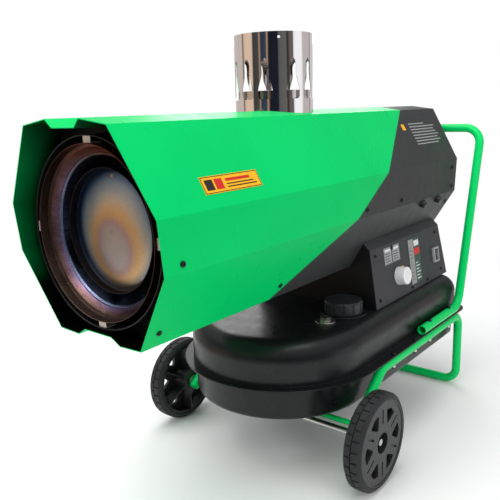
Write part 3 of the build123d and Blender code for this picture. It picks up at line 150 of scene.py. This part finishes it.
def mixed(tree, factor, first, second, blend="MIX"):
    node = addNode(tree, "ShaderNodeMix", data_type="RGBA", blend_type=blend)
    if isinstance(factor, (int, float)):
        node.inputs["Factor"].default_value = factor
    else:
        tree.links.new(factor, node.inputs["Factor"])
    colourSockets = (node.inputs[6], node.inputs[7])
    for socket, value in zip(colourSockets, (first, second)):
        if isinstance(value, tuple):
            socket.default_value = rgba(value)
        else:
            tree.links.new(value, socket)
    return node.outputs[2]


def times(tree, first, second):
    return mixed(tree, 1.0, first, second, "MULTIPLY")


def axesOf(tree, vector):
    node = addNode(tree, "ShaderNodeSeparateXYZ")
    tree.links.new(vector, node.inputs["Vector"])
    return node.outputs


def vectorMaths(tree, operation, vector, values):
    node = addNode(tree, "ShaderNodeVectorMath", operation=operation)
    tree.links.new(vector, node.inputs[0])
    node.inputs[1].default_value = values
    return node


def distanceFrom(tree, centre, keep=(1, 1, 1)):
    # length from a point, each axis counted as many times as keep says
    moved = vectorMaths(tree, "SUBTRACT", objectPlace(tree), centre)
    scaled = vectorMaths(tree, "MULTIPLY", moved.outputs["Vector"], keep)
    length = addNode(tree, "ShaderNodeVectorMath", operation="LENGTH")
    tree.links.new(scaled.outputs["Vector"], length.inputs[0])
    return length.outputs["Value"]


def roundEdges(tree, radius):
    node = addNode(tree, "ShaderNodeBevel", samples=6)
    node.inputs["Radius"].default_value = radius
    return node.outputs["Normal"]


def bump(tree, shader, height, strength, distance, normal=None):
    node = addNode(tree, "ShaderNodeBump")
    node.inputs["Strength"].default_value = strength
    node.inputs["Distance"].default_value = distance
    tree.links.new(height, node.inputs["Height"])
    if normal is not None:
        tree.links.new(normal, node.inputs["Normal"])
    tree.links.new(node.outputs["Normal"], shader.inputs["Normal"])
    return node.outputs["Normal"]


def shade(colour, amount):
    return tuple(min(1.0, c * amount) for c in colour)


def twoTones(tree, factor, colour, dark, light, stops=(0.3, 0.7)):
    return ramp(tree, factor, [(stops[0], shade(colour, dark)), (stops[1], shade(colour, light))])


axisPoint = (0.0, 0.0, 0.573)  # on the axis of the casing, in metres


# powder coat on sheet metal: fine orange peel, faint cloudiness and rolled edges

# painted shade inside the front casing: ramps that darken its inward faces by depth and by height
insideShade = {
    "tipToWeb": (-0.583, -0.505),  # along Y, in metres
    "depth": [(0.0, (0.34, 0.36, 0.35)), (0.45, (0.16, 0.17, 0.17)), (1.0, (0.010, 0.010, 0.010))],
    "footToCrown": (0.395, 0.760),  # along Z, in metres
    "height": [
        (0.0, (0.012, 0.012, 0.012)),
        (0.22, (0.02, 0.02, 0.02)),
        (0.34, (0.8, 0.8, 0.8)),
        (0.78, (1, 1, 1)),
        (1.0, (0.25, 0.25, 0.25)),
    ],
}


def paintInsideShade(tree, colour, settings):
    # painted shade: faces that look at the casing's axis are darker, most of all deep in and low down and a
    # little at the crown, where shade falls inside the casing
    shape = addNode(tree, "ShaderNodeNewGeometry")
    fromAxis = vectorMaths(tree, "SUBTRACT", shape.outputs["Position"], axisPoint)
    outward = addNode(tree, "ShaderNodeVectorMath", operation="DOT_PRODUCT")
    tree.links.new(fromAxis.outputs["Vector"], outward.inputs[0])
    tree.links.new(shape.outputs["True Normal"], outward.inputs[1])
    inside = maths(tree, "LESS_THAN", outward.outputs["Value"], 0.0)
    place = axesOf(tree, shape.outputs["Position"])
    deep = ramp(tree, share(tree, place["Y"], settings["tipToWeb"]), settings["depth"])
    low = ramp(tree, share(tree, place["Z"], settings["footToCrown"]), settings["height"])
    return mixed(tree, inside, colour, times(tree, times(tree, colour, deep), low))


def powderCoat(name, colour, rough=0.32, peel=0.12, edge=0.0012, sheen=0.3, shaded=False):
    material, tree, shader = newFinish(name, {"Specular IOR Level": sheen})
    tone = twoTones(tree, noise(tree, 5.0, 3.0, 0.55), colour, 0.94, 1.06, (0.25, 0.75))
    # painted shade on the inward faces, for the front casing only
    if shaded:
        tone = paintInsideShade(tree, tone, insideShade)
    tree.links.new(tone, shader.inputs["Base Color"])
    patchy = spread(tree, noise(tree, 38.0, 4.0), rough - 0.04, rough + 0.05)
    tree.links.new(patchy, shader.inputs["Roughness"])
    waves = bump(tree, shader, noise(tree, 3.2, 1.0), 0.25, 0.0012, roundEdges(tree, edge))
    bump(tree, shader, noise(tree, 700, 2.0, 0.6), peel, 0.0003, waves)
    return material


# steel that has been hot: heat-tint colour bands follow the distance from the axis; a painted highlight
# brightens the lower left and painted shade darkens the other sides

hotSteel = {
    "reach": 0.2,  # the bands are set out as shares of this distance, in metres
    "bands": [
        (0.000, (0.030, 0.022, 0.018)),
        (0.400, (0.040, 0.026, 0.020)),
        (0.610, (0.020, 0.020, 0.026)),
        # on the bead: blue and purple heat tint, with a painted highlight in the pale band at 0.634
        (0.622, (0.150, 0.200, 0.330)),
        (0.634, (0.270, 0.330, 0.480)),
        (0.650, (0.180, 0.120, 0.200)),
        (0.672, (0.150, 0.080, 0.085)),
        (0.688, (0.110, 0.062, 0.045)),
        (0.700, (0.070, 0.042, 0.032)),
        (0.735, (0.120, 0.080, 0.060)),
    ],
    "wander": 0.0022,
    "speckle": [(0.35, (0.45, 0.42, 0.40)), (0.62, (1.0, 1.0, 1.0))],
    "blotch": [(0.3, (0.72, 0.66, 0.62)), (0.7, (1.25, 1.2, 1.15))],
    # painted highlight and shade: the heat tint is made brighter towards the lower left and darker on the
    # other sides
    "towardsFoot": -0.7,  # share of X and of Z in the direction to the lower left
    "paintedHighlightReach": (-0.02, 0.125),
    "paintedHighlightAndShade": [
        (0.0, (0.40, 0.36, 0.40)),
        (0.5, (0.62, 0.56, 0.62)),
        (0.8, (1.25, 1.35, 1.5)),
        (1.0, (1.7, 1.8, 2.0)),
    ],
    "crownReach": (0.655, 0.715),
    "byHeight": [(0.0, (1.0, 1.0, 1.0)), (0.5, (1.3, 0.95, 0.7)), (1.0, (3.4, 1.5, 0.35))],
}


def heatTintWithPaintedHighlight(name, settings):
    material, tree, shader = newFinish(name, {"Metallic": 0.85})
    away = distanceFrom(tree, axisPoint, keep=(1, 0, 1))
    uneven = noise(tree, 16.0, 4.0, 0.6, warp=0.6)
    wander = spread(tree, uneven, -settings["wander"], settings["wander"])
    band = maths(tree, "DIVIDE", maths(tree, "ADD", away, wander), settings["reach"])
    speckle = ramp(tree, noise(tree, 420.0, 5.0, 0.75), settings["speckle"])
    blotch = ramp(tree, noise(tree, 22.0, 5.0, 0.6, warp=1.0), settings["blotch"])
    place = axesOf(tree, objectPlace(tree))
    slant = settings["towardsFoot"]
    # painted highlight: how far each point lies towards the lower left, where the glint is painted
    toLeft = maths(tree, "MULTIPLY", place["X"], slant)
    belowAxis = maths(tree, "SUBTRACT", place["Z"], axisPoint[2])
    toFoot = maths(tree, "MULTIPLY", belowAxis, slant)
    side = share(tree, maths(tree, "ADD", toLeft, toFoot), settings["paintedHighlightReach"])
    crown = share(tree, place["Z"], settings["crownReach"])
    colour = times(tree, ramp(tree, band, settings["bands"]), speckle)
    # painted highlight at the lower left, painted shade elsewhere
    colour = times(tree, colour, ramp(tree, side, settings["paintedHighlightAndShade"]))
    colour = times(tree, colour, ramp(tree, crown, settings["byHeight"]))
    tree.links.new(times(tree, colour, blotch), shader.inputs["Base Color"])
    brushed = noise(tree, 60.0, 4.0, stretch=(1, 0.15, 1))
    tree.links.new(spread(tree, brushed, 0.26, 0.46), shader.inputs["Roughness"])
    bump(tree, shader, noise(tree, 300.0, 4.0, 0.7), 0.12, 0.0004, roundEdges(tree, 0.0012))
    return material


# dished end plate: grey heart, golden ring, pale steel and a blue rim

dishTint = {
    "heart": (0.004, -0.5, 0.548),
    "keep": (1.15, 0, 1),  # the rings are a little narrower than high
    "reach": 0.135,  # the rings are set out as shares of this distance, in metres
    "rings": [
        (0.00, (0.330, 0.300, 0.275)),
        (0.23, (0.330, 0.285, 0.265)),
        (0.32, (0.340, 0.230, 0.220)),
        (0.38, (0.470, 0.290, 0.160)),
        (0.47, (0.580, 0.370, 0.170)),
        (0.57, (0.520, 0.430, 0.310)),
        (0.67, (0.400, 0.410, 0.400)),
        (0.76, (0.290, 0.350, 0.390)),
        (0.90, (0.140, 0.210, 0.300)),
        (1.00, (0.045, 0.075, 0.130)),
    ],
    "wander": 0.006,
    "rimReach": 0.101,  # and the rim as shares of this one
    "rim": [
        (0.0, (1.0, 1.0, 1.0)),
        (0.80, (0.96, 0.97, 1.0)),
        (0.90, (0.50, 0.56, 0.70)),
        (1.0, (0.20, 0.22, 0.30)),
    ],
    "grit": [(0.3, (0.82, 0.80, 0.78)), (0.65, (1.06, 1.06, 1.06))],
    "rivet": (0.0, -0.5, 0.662),
    "rivetRadius": 0.0028,
    "rivetColour": (0.50, 0.27, 0.06),
}


def dishFinish(name, settings):
    material, tree, shader = newFinish(name, {"Metallic": 0.8})
    away = distanceFrom(tree, settings["heart"], settings["keep"])
    uneven = noise(tree, 11.0, 4.0, 0.5, warp=0.2)
    wander = spread(tree, uneven, -settings["wander"], settings["wander"])
    ring = maths(tree, "DIVIDE", maths(tree, "ADD", away, wander), settings["reach"])
    fromAxis = distanceFrom(tree, axisPoint, keep=(1, 0, 1))
    rim = maths(tree, "DIVIDE", fromAxis, settings["rimReach"])
    tone = times(tree, ramp(tree, ring, settings["rings"]), ramp(tree, rim, settings["rim"]))
    tone = times(tree, tone, ramp(tree, noise(tree, 600.0, 4.0, 0.7), settings["grit"]))
    fromRivet = distanceFrom(tree, settings["rivet"], (1, 0, 1))
    onRivet = maths(tree, "LESS_THAN", fromRivet, settings["rivetRadius"])
    tree.links.new(mixed(tree, onRivet, tone, settings["rivetColour"]), shader.inputs["Base Color"])
    tree.links.new(spread(tree, noise(tree, 90.0, 3.0), 0.30, 0.42), shader.inputs["Roughness"])
    bump(tree, shader, noise(tree, 240.0, 3.0, 0.6), 0.08, 0.0003)
    return material


# bare metals: fine mottling, drawn out into streaks where grain is small along one axis

def bareMetal(name, colour, rough=0.25, grain=(1, 1, 1), grainScale=120.0, depth=0.1, metallic=1.0):
    material, tree, shader = newFinish(name, {"Metallic": metallic})
    streak = noise(tree, grainScale, 4.0, 0.6, stretch=grain)
    tree.links.new(twoTones(tree, streak, colour, 0.86, 1.06), shader.inputs["Base Color"])
    tree.links.new(spread(tree, streak, rough - 0.08, rough + 0.08), shader.inputs["Roughness"])
    bump(tree, shader, streak, depth, 0.0002, roundEdges(tree, 0.0006))
    return material


def mirrorSteel(name, colour):
    # rolled stainless sheet: nearly a mirror, with faint upright roll lines
    material, tree, shader = newFinish(name, {"Metallic": 1.0})
    lines = noise(tree, 26.0, 3.0, 0.5, stretch=(1, 1, 0.04))
    tree.links.new(twoTones(tree, lines, colour, 0.9, 1.04), shader.inputs["Base Color"])
    tree.links.new(spread(tree, noise(tree, 70.0, 3.0), 0.035, 0.085), shader.inputs["Roughness"])
    bump(tree, shader, lines, 0.06, 0.0006)
    return material


# moulded plastic and rubber

def moulded(name, colour, rough=0.45, grain=0.25, scale=900.0, cloud=0.08, coat=0.0):
    material, tree, shader = newFinish(name, {"Specular IOR Level": 0.45, "Coat Weight": coat})
    clouds = noise(tree, 24.0, 4.0, 0.6)
    tree.links.new(twoTones(tree, clouds, colour, 1 - cloud, 1 + cloud), shader.inputs["Base Color"])
    patchy = spread(tree, noise(tree, 150.0, 4.0), rough - 0.06, rough + 0.08)
    tree.links.new(patchy, shader.inputs["Roughness"])
    bump(tree, shader, noise(tree, scale, 3.0, 0.65), grain, 0.00025, roundEdges(tree, 0.0008))
    return material


# printed film on the plates: dot screen and slight unevenness

def printedFilm(name, colour):
    material, tree, shader = newFinish(name, {"Specular IOR Level": 0.4})
    dots = noise(tree, 1600.0, 1.0, 0.5)
    tree.links.new(twoTones(tree, dots, colour, 0.93, 1.05, (0.35, 0.65)), shader.inputs["Base Color"])
    tree.links.new(spread(tree, noise(tree, 200.0, 3.0), 0.31, 0.40), shader.inputs["Roughness"])
    bump(tree, shader, noise(tree, 500.0, 2.0), 0.04, 0.0001)
    return material


# every finish: how it is made, and its values
finishSettings = {
    "casingGreen": (powderCoat, {"colour": (0.0, 0.54, 0.128), "rough": 0.30, "sheen": 0.06,
                                 "shaded": True}),
    "tubeGreen": (powderCoat, {"colour": (0.0, 0.60, 0.130), "rough": 0.24, "edge": 0.0006, "sheen": 0.16}),
    "casingGrey": (powderCoat, {"colour": (0.034, 0.035, 0.036), "rough": 0.42, "peel": 0.2, "sheen": 0.2}),
    "panelGrey": (powderCoat, {"colour": (0.040, 0.041, 0.046), "rough": 0.44, "peel": 0.22,
                               "sheen": 0.22}),
    "tankBlack": (powderCoat, {"colour": (0.0065, 0.0075, 0.0082), "rough": 0.30, "peel": 0.10,
                               "edge": 0.0015, "sheen": 0.32}),
    "ductBlack": (powderCoat, {"colour": (0.0055, 0.0055, 0.006), "rough": 0.5, "peel": 0.2}),
    "hotSteel": (heatTintWithPaintedHighlight, {"settings": hotSteel}),
    "dishSteel": (dishFinish, {"settings": dishTint}),
    "flueSteel": (bareMetal, {"colour": (0.55, 0.53, 0.50), "rough": 0.16, "grain": (1, 1, 0.05)}),
    "mirrorSteel": (mirrorSteel, {"colour": (0.86, 0.845, 0.83)}),
    "zinc": (bareMetal, {"colour": (0.62, 0.61, 0.58), "rough": 0.3}),
    "clipSteel": (bareMetal, {"colour": (0.66, 0.60, 0.54), "rough": 0.42, "metallic": 0.6}),
    "darkScrew": (bareMetal, {"colour": (0.040, 0.038, 0.045), "rough": 0.28}),
    "turnedSteel": (bareMetal, {"colour": (0.60, 0.60, 0.60), "rough": 0.2, "grain": (0.05, 1, 1)}),
    "capBlack": (moulded, {"colour": (0.020, 0.022, 0.027), "rough": 0.40, "grain": 0.3}),
    "glandBlack": (moulded, {"colour": (0.012, 0.012, 0.013), "rough": 0.35}),
    "wheelBlack": (moulded, {"colour": (0.017, 0.017, 0.018), "rough": 0.46, "grain": 0.35, "coat": 0.1}),
    "tyreBlack": (moulded, {"colour": (0.014, 0.014, 0.016), "rough": 0.62, "grain": 0.6, "scale": 500.0,
                            "cloud": 0.2}),
    "sealRubber": (moulded, {"colour": (0.015, 0.015, 0.015), "rough": 0.6}),
    "knobWhite": (moulded, {"colour": (0.78, 0.79, 0.80), "rough": 0.3, "grain": 0.08, "cloud": 0.02,
                            "coat": 0.2}),
    "switchGrey": (moulded, {"colour": (0.34, 0.35, 0.37), "rough": 0.32, "grain": 0.1, "coat": 0.2}),
    "rockerBlack": (moulded, {"colour": (0.010, 0.010, 0.011), "rough": 0.25, "grain": 0.06, "coat": 0.3}),
    "plateGrey": (printedFilm, {"colour": (0.33, 0.34, 0.36)}),
    "plateYellow": (printedFilm, {"colour": (0.86, 0.42, 0.004)}),
    "plateName": (printedFilm, {"colour": (0.028, 0.075, 0.060)}),
    "inkDark": (printedFilm, {"colour": (0.022, 0.014, 0.010)}),
    "inkWhite": (printedFilm, {"colour": (0.72, 0.74, 0.74)}),
    "inkRed": (printedFilm, {"colour": (0.55, 0.018, 0.012)}),
    "inkPale": (printedFilm, {"colour": (0.30, 0.30, 0.30)}),
    "brassTurned": (bareMetal, {"colour": (0.62, 0.43, 0.16), "rough": 0.25}),
    "copperPipe": (bareMetal, {"colour": (0.62, 0.30, 0.17), "rough": 0.25}),
    "glazed": (moulded, {"colour": (0.75, 0.74, 0.70), "rough": 0.2, "grain": 0.05, "coat": 0.5}),
    "castAluminium": (bareMetal, {"colour": (0.52, 0.52, 0.53), "rough": 0.42, "grainScale": 260.0,
                                  "depth": 0.3}),
    "boardGreen": (moulded, {"colour": (0.02, 0.16, 0.05), "rough": 0.3}),
    "resinBlack": (moulded, {"colour": (0.016, 0.016, 0.017), "rough": 0.5}),
}

# which pieces wear which finish
wears = {
    "casingGreen": ["front_casing"],
    "tubeGreen": ["frame_tube", "handle_tube"],
    "casingGrey": ["rear_casing"],
    "panelGrey": ["control_panel", "service_panel"],
    "tankBlack": ["tank_upper", "tank_lower", "filler_neck"],
    "ductBlack": ["front_plate", "rear_plate", "duct_liner", "support_housing", "burner_air_box",
                  "motor_bracket", "intake_guard"],
    "hotSteel": ["heat_exchanger", "combustion_drum", "gas_crossover", "inner_straps", "flame_tube"],
    "dishSteel": ["drum_dome"],
    "flueSteel": ["flue_spigot"],
    "mirrorSteel": ["draft_sleeve"],
    "zinc": ["fuel_gauge", "drain_plug", "axle_washers", "split_pins", "frame_nuts"],
    "clipSteel": ["spacer_clips"],
    "darkScrew": ["casing_screws", "panel_screws", "frame_bolts"],
    "turnedSteel": ["axle", "motor_shaft"],
    "capBlack": ["fuel_cap"],
    "glandBlack": ["cable_glands", "thermostat", "gauge_float"],
    "wheelBlack": ["right_rim", "left_rim"],
    "tyreBlack": ["right_tyre", "left_tyre"],
    "sealRubber": ["cap_seal"],
    "knobWhite": ["thermostat_knob"],
    "switchGrey": ["switch_bezel"],
    "rockerBlack": ["switch_rocker"],
    "plateGrey": ["grey_plates"],
    "plateYellow": ["yellow_plates"],
    "plateName": ["name_plate"],
    "brassTurned": ["burner_nozzle", "fuel_pump"],
    "copperPipe": ["suction_pipe", "feed_pipe"],
    "glazed": ["ignition_electrodes"],
    "castAluminium": ["fan_motor", "fan_blades", "blower_wheel"],
    "boardGreen": ["circuit_board"],
    "resinBlack": ["ignition_transformer"],
}


def dress(node, finish):
    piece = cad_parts[node]
    if not piece.material_slots:
        piece.data.materials.append(finish)
    for slot in piece.material_slots:
        slot.material = finish


finishes = {name: make(name, **values) for name, (make, values) in finishSettings.items()}
for finishName, nodes in wears.items():
    for node in nodes:
        dress(node, finishes[finishName])
print("finishes are on:", len(finishes))


# extra pieces ride on the heater itself, as none of them moves on it

def addPiece(name, mesh):
    piece = bpy.data.objects.new(name, mesh)
    scene.collection.objects.link(piece)
    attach(piece, "heater")
    return piece


# flue sleeve: the vents and the small hole face the way they do in the photograph

sleeveTurn = {"place": (0.0, -0.05406, 0.0), "degrees": -95.0}


def turnedSleeve(settings):
    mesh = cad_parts["draft_sleeve"].data.copy()
    mesh.name = "sleeveTurned"
    shift = Matrix.Translation(settings["place"])
    turn = Matrix.Rotation(math.radians(settings["degrees"]), 4, "Z")
    mesh.transform(shift @ turn @ shift.inverted())
    mesh.update()
    piece = addPiece("sleeveTurned", mesh)
    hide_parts("draft_sleeve")


turnedSleeve(sleeveTurn)
print("sleeve is turned")


# seats on the leaning panel and on the casing's upper facet: a place, and the way that it faces
# foot is X and Z of the face's lower edge, slope is how far it goes in and up from there

slants = {
    "frontTip": -0.58306,
    "panel": {"foot": (0.172, 0.305), "slope": (0.020, 0.136)},
    "facet": {"foot": (0.180, 0.615), "slope": (0.077, 0.131)},
}


def seatOn(face, fromTip, height):
    footX, footZ = slants[face]["foot"]
    inward, upward = slants[face]["slope"]
    normal = Vector((upward, 0, inward)).normalized()
    x = footX - (height - footZ) * inward / upward
    return Vector((x, slants["frontTip"] + fromTip, height)), normal


# printing on the plates: thin raised patches, all plain bars and blocks
# places are metres from the front tip and above the floor, the rest is millimetres from the plate's middle

millimetre = 0.001
printing = {
    "film": 0.0006,  # the plates stand this far off their seat
    "ink": 0.00015,  # and the print this far off the plates
}

greyPlate = {
    "lift": printing["film"], "slot": "plate_grey",
    "border": (36, 38, 0.8),
    "blocks": [("inkWhite", -14, 10, 14, 15)],
    "rows": [{"ink": "inkDark", "span": (-14, 14), "bottom": -14, "step": 6.0, "thick": 1.8,
              "shares": [0.9, 0.7, 0.95, 0.8]}],
}

plates = {
    "sidePlatePrint": {
        "seat": seatOn("facet", 0.195, 0.648), "lift": printing["film"], "slot": "plate_yellow",
        "border": (136.0, 28.0, 1.2),
        "blocks": [("inkDark", -62, -9, -44, 9), ("inkRed", -40, -9, -22, 9),
                   ("inkRed", -14, 2.5, 46, 7.5)],
        "rows": [{"ink": "inkDark", "span": (-14, 60), "bottom": -8, "step": 5.0, "thick": 2.0,
                  "shares": [0.98, 0.9]}],
    },
    "namePlatePrint": {
        "seat": seatOn("panel", 0.891, 0.375), "lift": printing["film"], "slot": "plate_name",
        "blocks": [("inkPale", -31, -56, -4, 56), ("inkRed", -2, 14, 29, 31), ("inkWhite", 0, 36, 27, 50)],
        "rows": [
            {"ink": "inkWhite", "span": (2, 27), "bottom": -48, "step": 8.0, "thick": 2.2,
             "shares": [0.9, 0.7, 0.95, 0.6, 0.85, 0.5]},
            {"ink": "inkDark", "span": (-28, -8), "bottom": -46, "step": 9.0, "thick": 2.0,
             "shares": [0.95, 0.7, 0.9, 0.8, 0.95, 0.6, 0.9, 0.75, 0.9, 0.5]},
        ],
    },
    "greyPlatePrintFront": {"seat": seatOn("panel", 0.751, 0.414), **greyPlate},
    "greyPlatePrintRear": {"seat": seatOn("panel", 0.792, 0.414), **greyPlate},
    "knobPlatePrint": {
        "seat": seatOn("panel", 0.806, 0.358), "lift": printing["film"], "slot": "plate_yellow",
        "border": (36.5, 36.5, 1.0),
    },
    "casingBars": {
        "seat": seatOn("facet", 0.985, 0.686), "lift": 0.0, "slot": "grey_paint",
        "rows": [{"ink": "inkPale", "span": (-72, 76), "bottom": -28, "step": 8.0, "thick": 3.0,
                  "shares": [0.86, 0.98, 0.92, 1.0, 0.95, 0.9, 0.97, 0.6]}],
    },
    "casingMark": {
        "seat": seatOn("facet", 0.880, 0.705), "lift": 0.0, "slot": "plate_yellow",
        "blocks": [("plateYellow", -8, -8, 8, 8)],
    },
}


def borderBlocks(width, height, line):
    x, y = width / 2, height / 2
    sides = [(-x, -y, x, -y + line), (-x, y - line, x, y)]
    sides += [(-x, -y + line, -x + line, y - line), (x - line, -y + line, x, y - line)]
    return [("inkDark", *side) for side in sides]


def rowBlocks(row):
    # bars of different lengths, one above the other
    left, right = row["span"]
    blocks = []
    for i, part in enumerate(row["shares"]):
        bottom = row["bottom"] + i * row["step"]
        blocks.append((row["ink"], left, bottom, left + (right - left) * part, bottom + row["thick"]))
    return blocks


def seatAxes(normal):
    across = Vector((0, 1, 0))
    return across, normal.cross(across)


def addBlock(build, seat, lift, corners, index):
    place, normal = seat
    across, upward = seatAxes(normal)
    flat = [place + (across * x + upward * y) * millimetre for x, y in corners]
    low = [build.verts.new(point + normal * lift) for point in flat]
    high = [build.verts.new(point + normal * (lift + printing["ink"])) for point in flat]
    faces = [build.faces.new(high), build.faces.new(low[::-1])]
    for i in range(4):
        j = (i + 1) % 4
        faces.append(build.faces.new((low[i], low[j], high[j], high[i])))
    for face in faces:
        face.material_index = index


def printPlate(name, plate):
    blocks = borderBlocks(*plate["border"]) if "border" in plate else []
    blocks += plate.get("blocks", [])
    for row in plate.get("rows", []):
        blocks += rowBlocks(row)
    inks = list(dict.fromkeys(block[0] for block in blocks))
    build = bmesh.new()
    for ink, left, bottom, right, top in blocks:
        corners = [(left, bottom), (right, bottom), (right, top), (left, top)]
        addBlock(build, plate["seat"], plate["lift"], corners, inks.index(ink))
    mesh = bpy.data.meshes.new(name)
    build.to_mesh(mesh)
    build.free()
    for ink in inks:
        mesh.materials.append(finishes[ink])
    addPiece(name, mesh)


for plateName, plate in plates.items():
    printPlate(plateName, plate)


# small black stud over the grey plates, with a rounded head

stud = {
    "fromTip": 0.7715,
    "height": 0.4295,
    "radius": 0.0052,
    "stands": 0.004,
    "sides": 24,
    "profile": [(1.0, 0.0), (1.0, 0.7), (0.82, 0.93), (0.45, 1.0)],  # shares of radius and height
}


def roundStud(name, settings):
    place, normal = seatOn("panel", settings["fromTip"], settings["height"])
    across, upward = seatAxes(normal)
    sides = settings["sides"]
    build = bmesh.new()
    rings = []
    for out, lift in settings["profile"]:
        middle = place + normal * (settings["stands"] * lift)
        reach = settings["radius"] * out
        angles = [math.tau * i / sides for i in range(sides)]
        rings.append([build.verts.new(middle + (across * math.cos(a) + upward * math.sin(a)) * reach)
                      for a in angles])
    for low, high in zip(rings, rings[1:]):
        for i in range(sides):
            j = (i + 1) % sides
            build.faces.new((low[i], low[j], high[j], high[i]))
    build.faces.new(rings[0][::-1])
    build.faces.new(rings[-1])
    bmesh.ops.recalc_face_normals(build, faces=build.faces)
    mesh = bpy.data.meshes.new(name)
    build.to_mesh(mesh)
    build.free()
    mesh.materials.append(finishes["glandBlack"])
    addPiece(name, mesh)


roundStud("resetStud", stud)
print("plates are printed:", len(plates))


# floor, world and lamps

studio = {
    "floorReach": 8.0,
    "floorColour": (0.86, 0.86, 0.865),
    "floorFade": (0.9, 2.3),
    "skyStrength": 0.56,
    "horizon": (0.17, 0.30),  # between these rises the wall gives way to the ceiling
    "ceiling": [
        (0.0, (0.16, 0.16, 0.17)),
        (0.35, (0.22, 0.22, 0.23)),
        (0.6, (0.55, 0.55, 0.56)),
        (1.0, (0.9, 0.9, 0.9)),
    ],
    "wall": [  # pale cloths, dark flags and one bright window, all round the sleeve
        (0.000, (0.60, 0.53, 0.50)),
        (0.060, (0.66, 0.57, 0.52)),
        (0.078, (0.10, 0.07, 0.06)),
        (0.090, (0.74, 0.54, 0.41)),
        (0.170, (0.74, 0.56, 0.43)),
        (0.182, (0.03, 0.03, 0.03)),
        (0.195, (0.055, 0.055, 0.055)),
        (0.228, (0.06, 0.06, 0.06)),
        (0.238, (0.45, 0.30, 0.20)),
        (0.250, (0.03, 0.04, 0.07)),
        (0.292, (0.04, 0.055, 0.085)),
        (0.303, (0.50, 0.33, 0.22)),
        (0.315, (0.010, 0.012, 0.02)),
        (0.385, (0.012, 0.015, 0.028)),
        (0.397, (0.12, 0.12, 0.115)),
        (0.452, (0.14, 0.14, 0.135)),
        (0.466, (0.02, 0.02, 0.02)),
        (0.490, (0.17, 0.14, 0.13)),
        (0.512, (0.10, 0.09, 0.10)),
        (0.526, (1.05, 1.05, 1.10)),
        (0.595, (1.05, 1.05, 1.08)),
        (0.612, (0.56, 0.51, 0.52)),
        (0.700, (0.62, 0.55, 0.55)),
        (0.712, (0.10, 0.10, 0.12)),
        (0.725, (0.66, 0.63, 0.65)),
        (1.000, (0.60, 0.53, 0.50)),
    ],
}

lamps = {
    "topSoftbox": {"place": (-0.25, -0.5, 2.6), "aim": (0, 0, 0.5), "size": 2.6, "power": 62,
                   "mirrored": True},
    "sideSoftbox": {"place": (2.4, -0.9, 1.7), "aim": (0, 0, 0.45), "size": 1.6, "power": 24,
                    "mirrored": False},
    "frontSoftbox": {"place": (-0.9, -2.6, 1.5), "aim": (0, -0.2, 0.5), "size": 1.4, "power": 18,
                     "mirrored": False},
    "backSoftbox": {"place": (-1.6, 2.2, 1.9), "aim": (0, 0, 0.5), "size": 1.6, "power": 20,
                    "mirrored": True},
}


def mixShaders(tree, factor, first, second):
    node = addNode(tree, "ShaderNodeMixShader")
    tree.links.new(factor, node.inputs["Fac"])
    tree.links.new(first, node.inputs[1])
    tree.links.new(second, node.inputs[2])
    return node.outputs["Shader"]


def makeFloor(settings):
    # matt paper that fades out into the white behind it
    reach = settings["floorReach"]
    corners = [(x * reach, y * reach, 0) for x, y in ((-1, -1), (1, -1), (1, 1), (-1, 1))]
    mesh = bpy.data.meshes.new("floor")
    mesh.from_pydata(corners, [], [(0, 1, 2, 3)])
    floor = bpy.data.objects.new("floor", mesh)
    scene.collection.objects.link(floor)
    material = bpy.data.materials.new("floorPaper")
    material.use_nodes = True
    tree = material.node_tree
    tree.nodes.remove(tree.nodes["Principled BSDF"])
    paper = addNode(tree, "ShaderNodeBsdfDiffuse")
    paper.inputs["Color"].default_value = rgba(settings["floorColour"])
    clear = addNode(tree, "ShaderNodeBsdfTransparent")
    away = distanceFrom(tree, (0, 0, 0), keep=(1, 1, 0))
    fade = share(tree, away, settings["floorFade"])
    surface = mixShaders(tree, fade, paper.outputs["BSDF"], clear.outputs["BSDF"])
    tree.links.new(surface, tree.nodes["Material Output"].inputs["Surface"])
    mesh.materials.append(material)


def background(tree, strength=1.0):
    node = addNode(tree, "ShaderNodeBackground")
    node.inputs["Color"].default_value = (1, 1, 1, 1)
    node.inputs["Strength"].default_value = strength
    return node


def makeWorld(settings):
    # white behind the object, soft sky on it, and a room with flags and windows in its reflections
    world = bpy.data.worlds.new("studio")
    scene.world = world
    world.use_nodes = True
    tree = world.node_tree
    tree.nodes.clear()
    output = addNode(tree, "ShaderNodeOutputWorld")
    rays = addNode(tree, "ShaderNodeLightPath")
    white = background(tree)
    sky = background(tree, settings["skyStrength"])
    room = background(tree)
    way = axesOf(tree, addNode(tree, "ShaderNodeTexCoord").outputs["Generated"])
    turn = maths(tree, "ARCTAN2", way["Y"], way["X"])
    wall = ramp(tree, share(tree, turn, (-math.pi, math.pi)), settings["wall"])
    ceiling = ramp(tree, share(tree, way["Z"], (0.0, 1.0)), settings["ceiling"])
    above = share(tree, way["Z"], settings["horizon"])
    tree.links.new(mixed(tree, above, wall, ceiling), room.inputs["Color"])
    skyLight, roomLight, whiteLight = [node.outputs["Background"] for node in (sky, room, white)]
    unseen = mixShaders(tree, rays.outputs["Is Glossy Ray"], skyLight, roomLight)
    surface = mixShaders(tree, rays.outputs["Is Camera Ray"], unseen, whiteLight)
    tree.links.new(surface, output.inputs["Surface"])


def makeLamp(name, settings):
    data = bpy.data.lights.new(name, "AREA")
    data.shape = "RECTANGLE"
    data.size = data.size_y = settings["size"]
    data.energy = settings["power"]
    lamp = bpy.data.objects.new(name, data)
    scene.collection.objects.link(lamp)
    lamp.location = settings["place"]
    aim = Vector(settings["aim"]) - Vector(settings["place"])
    lamp.rotation_euler = aim.to_track_quat("-Z", "Y").to_euler()
    lamp.visible_glossy = settings["mirrored"]


makeFloor(studio)
makeWorld(studio)
for lampName, lampSettings in lamps.items():
    makeLamp(lampName, lampSettings)
print("studio is lit")
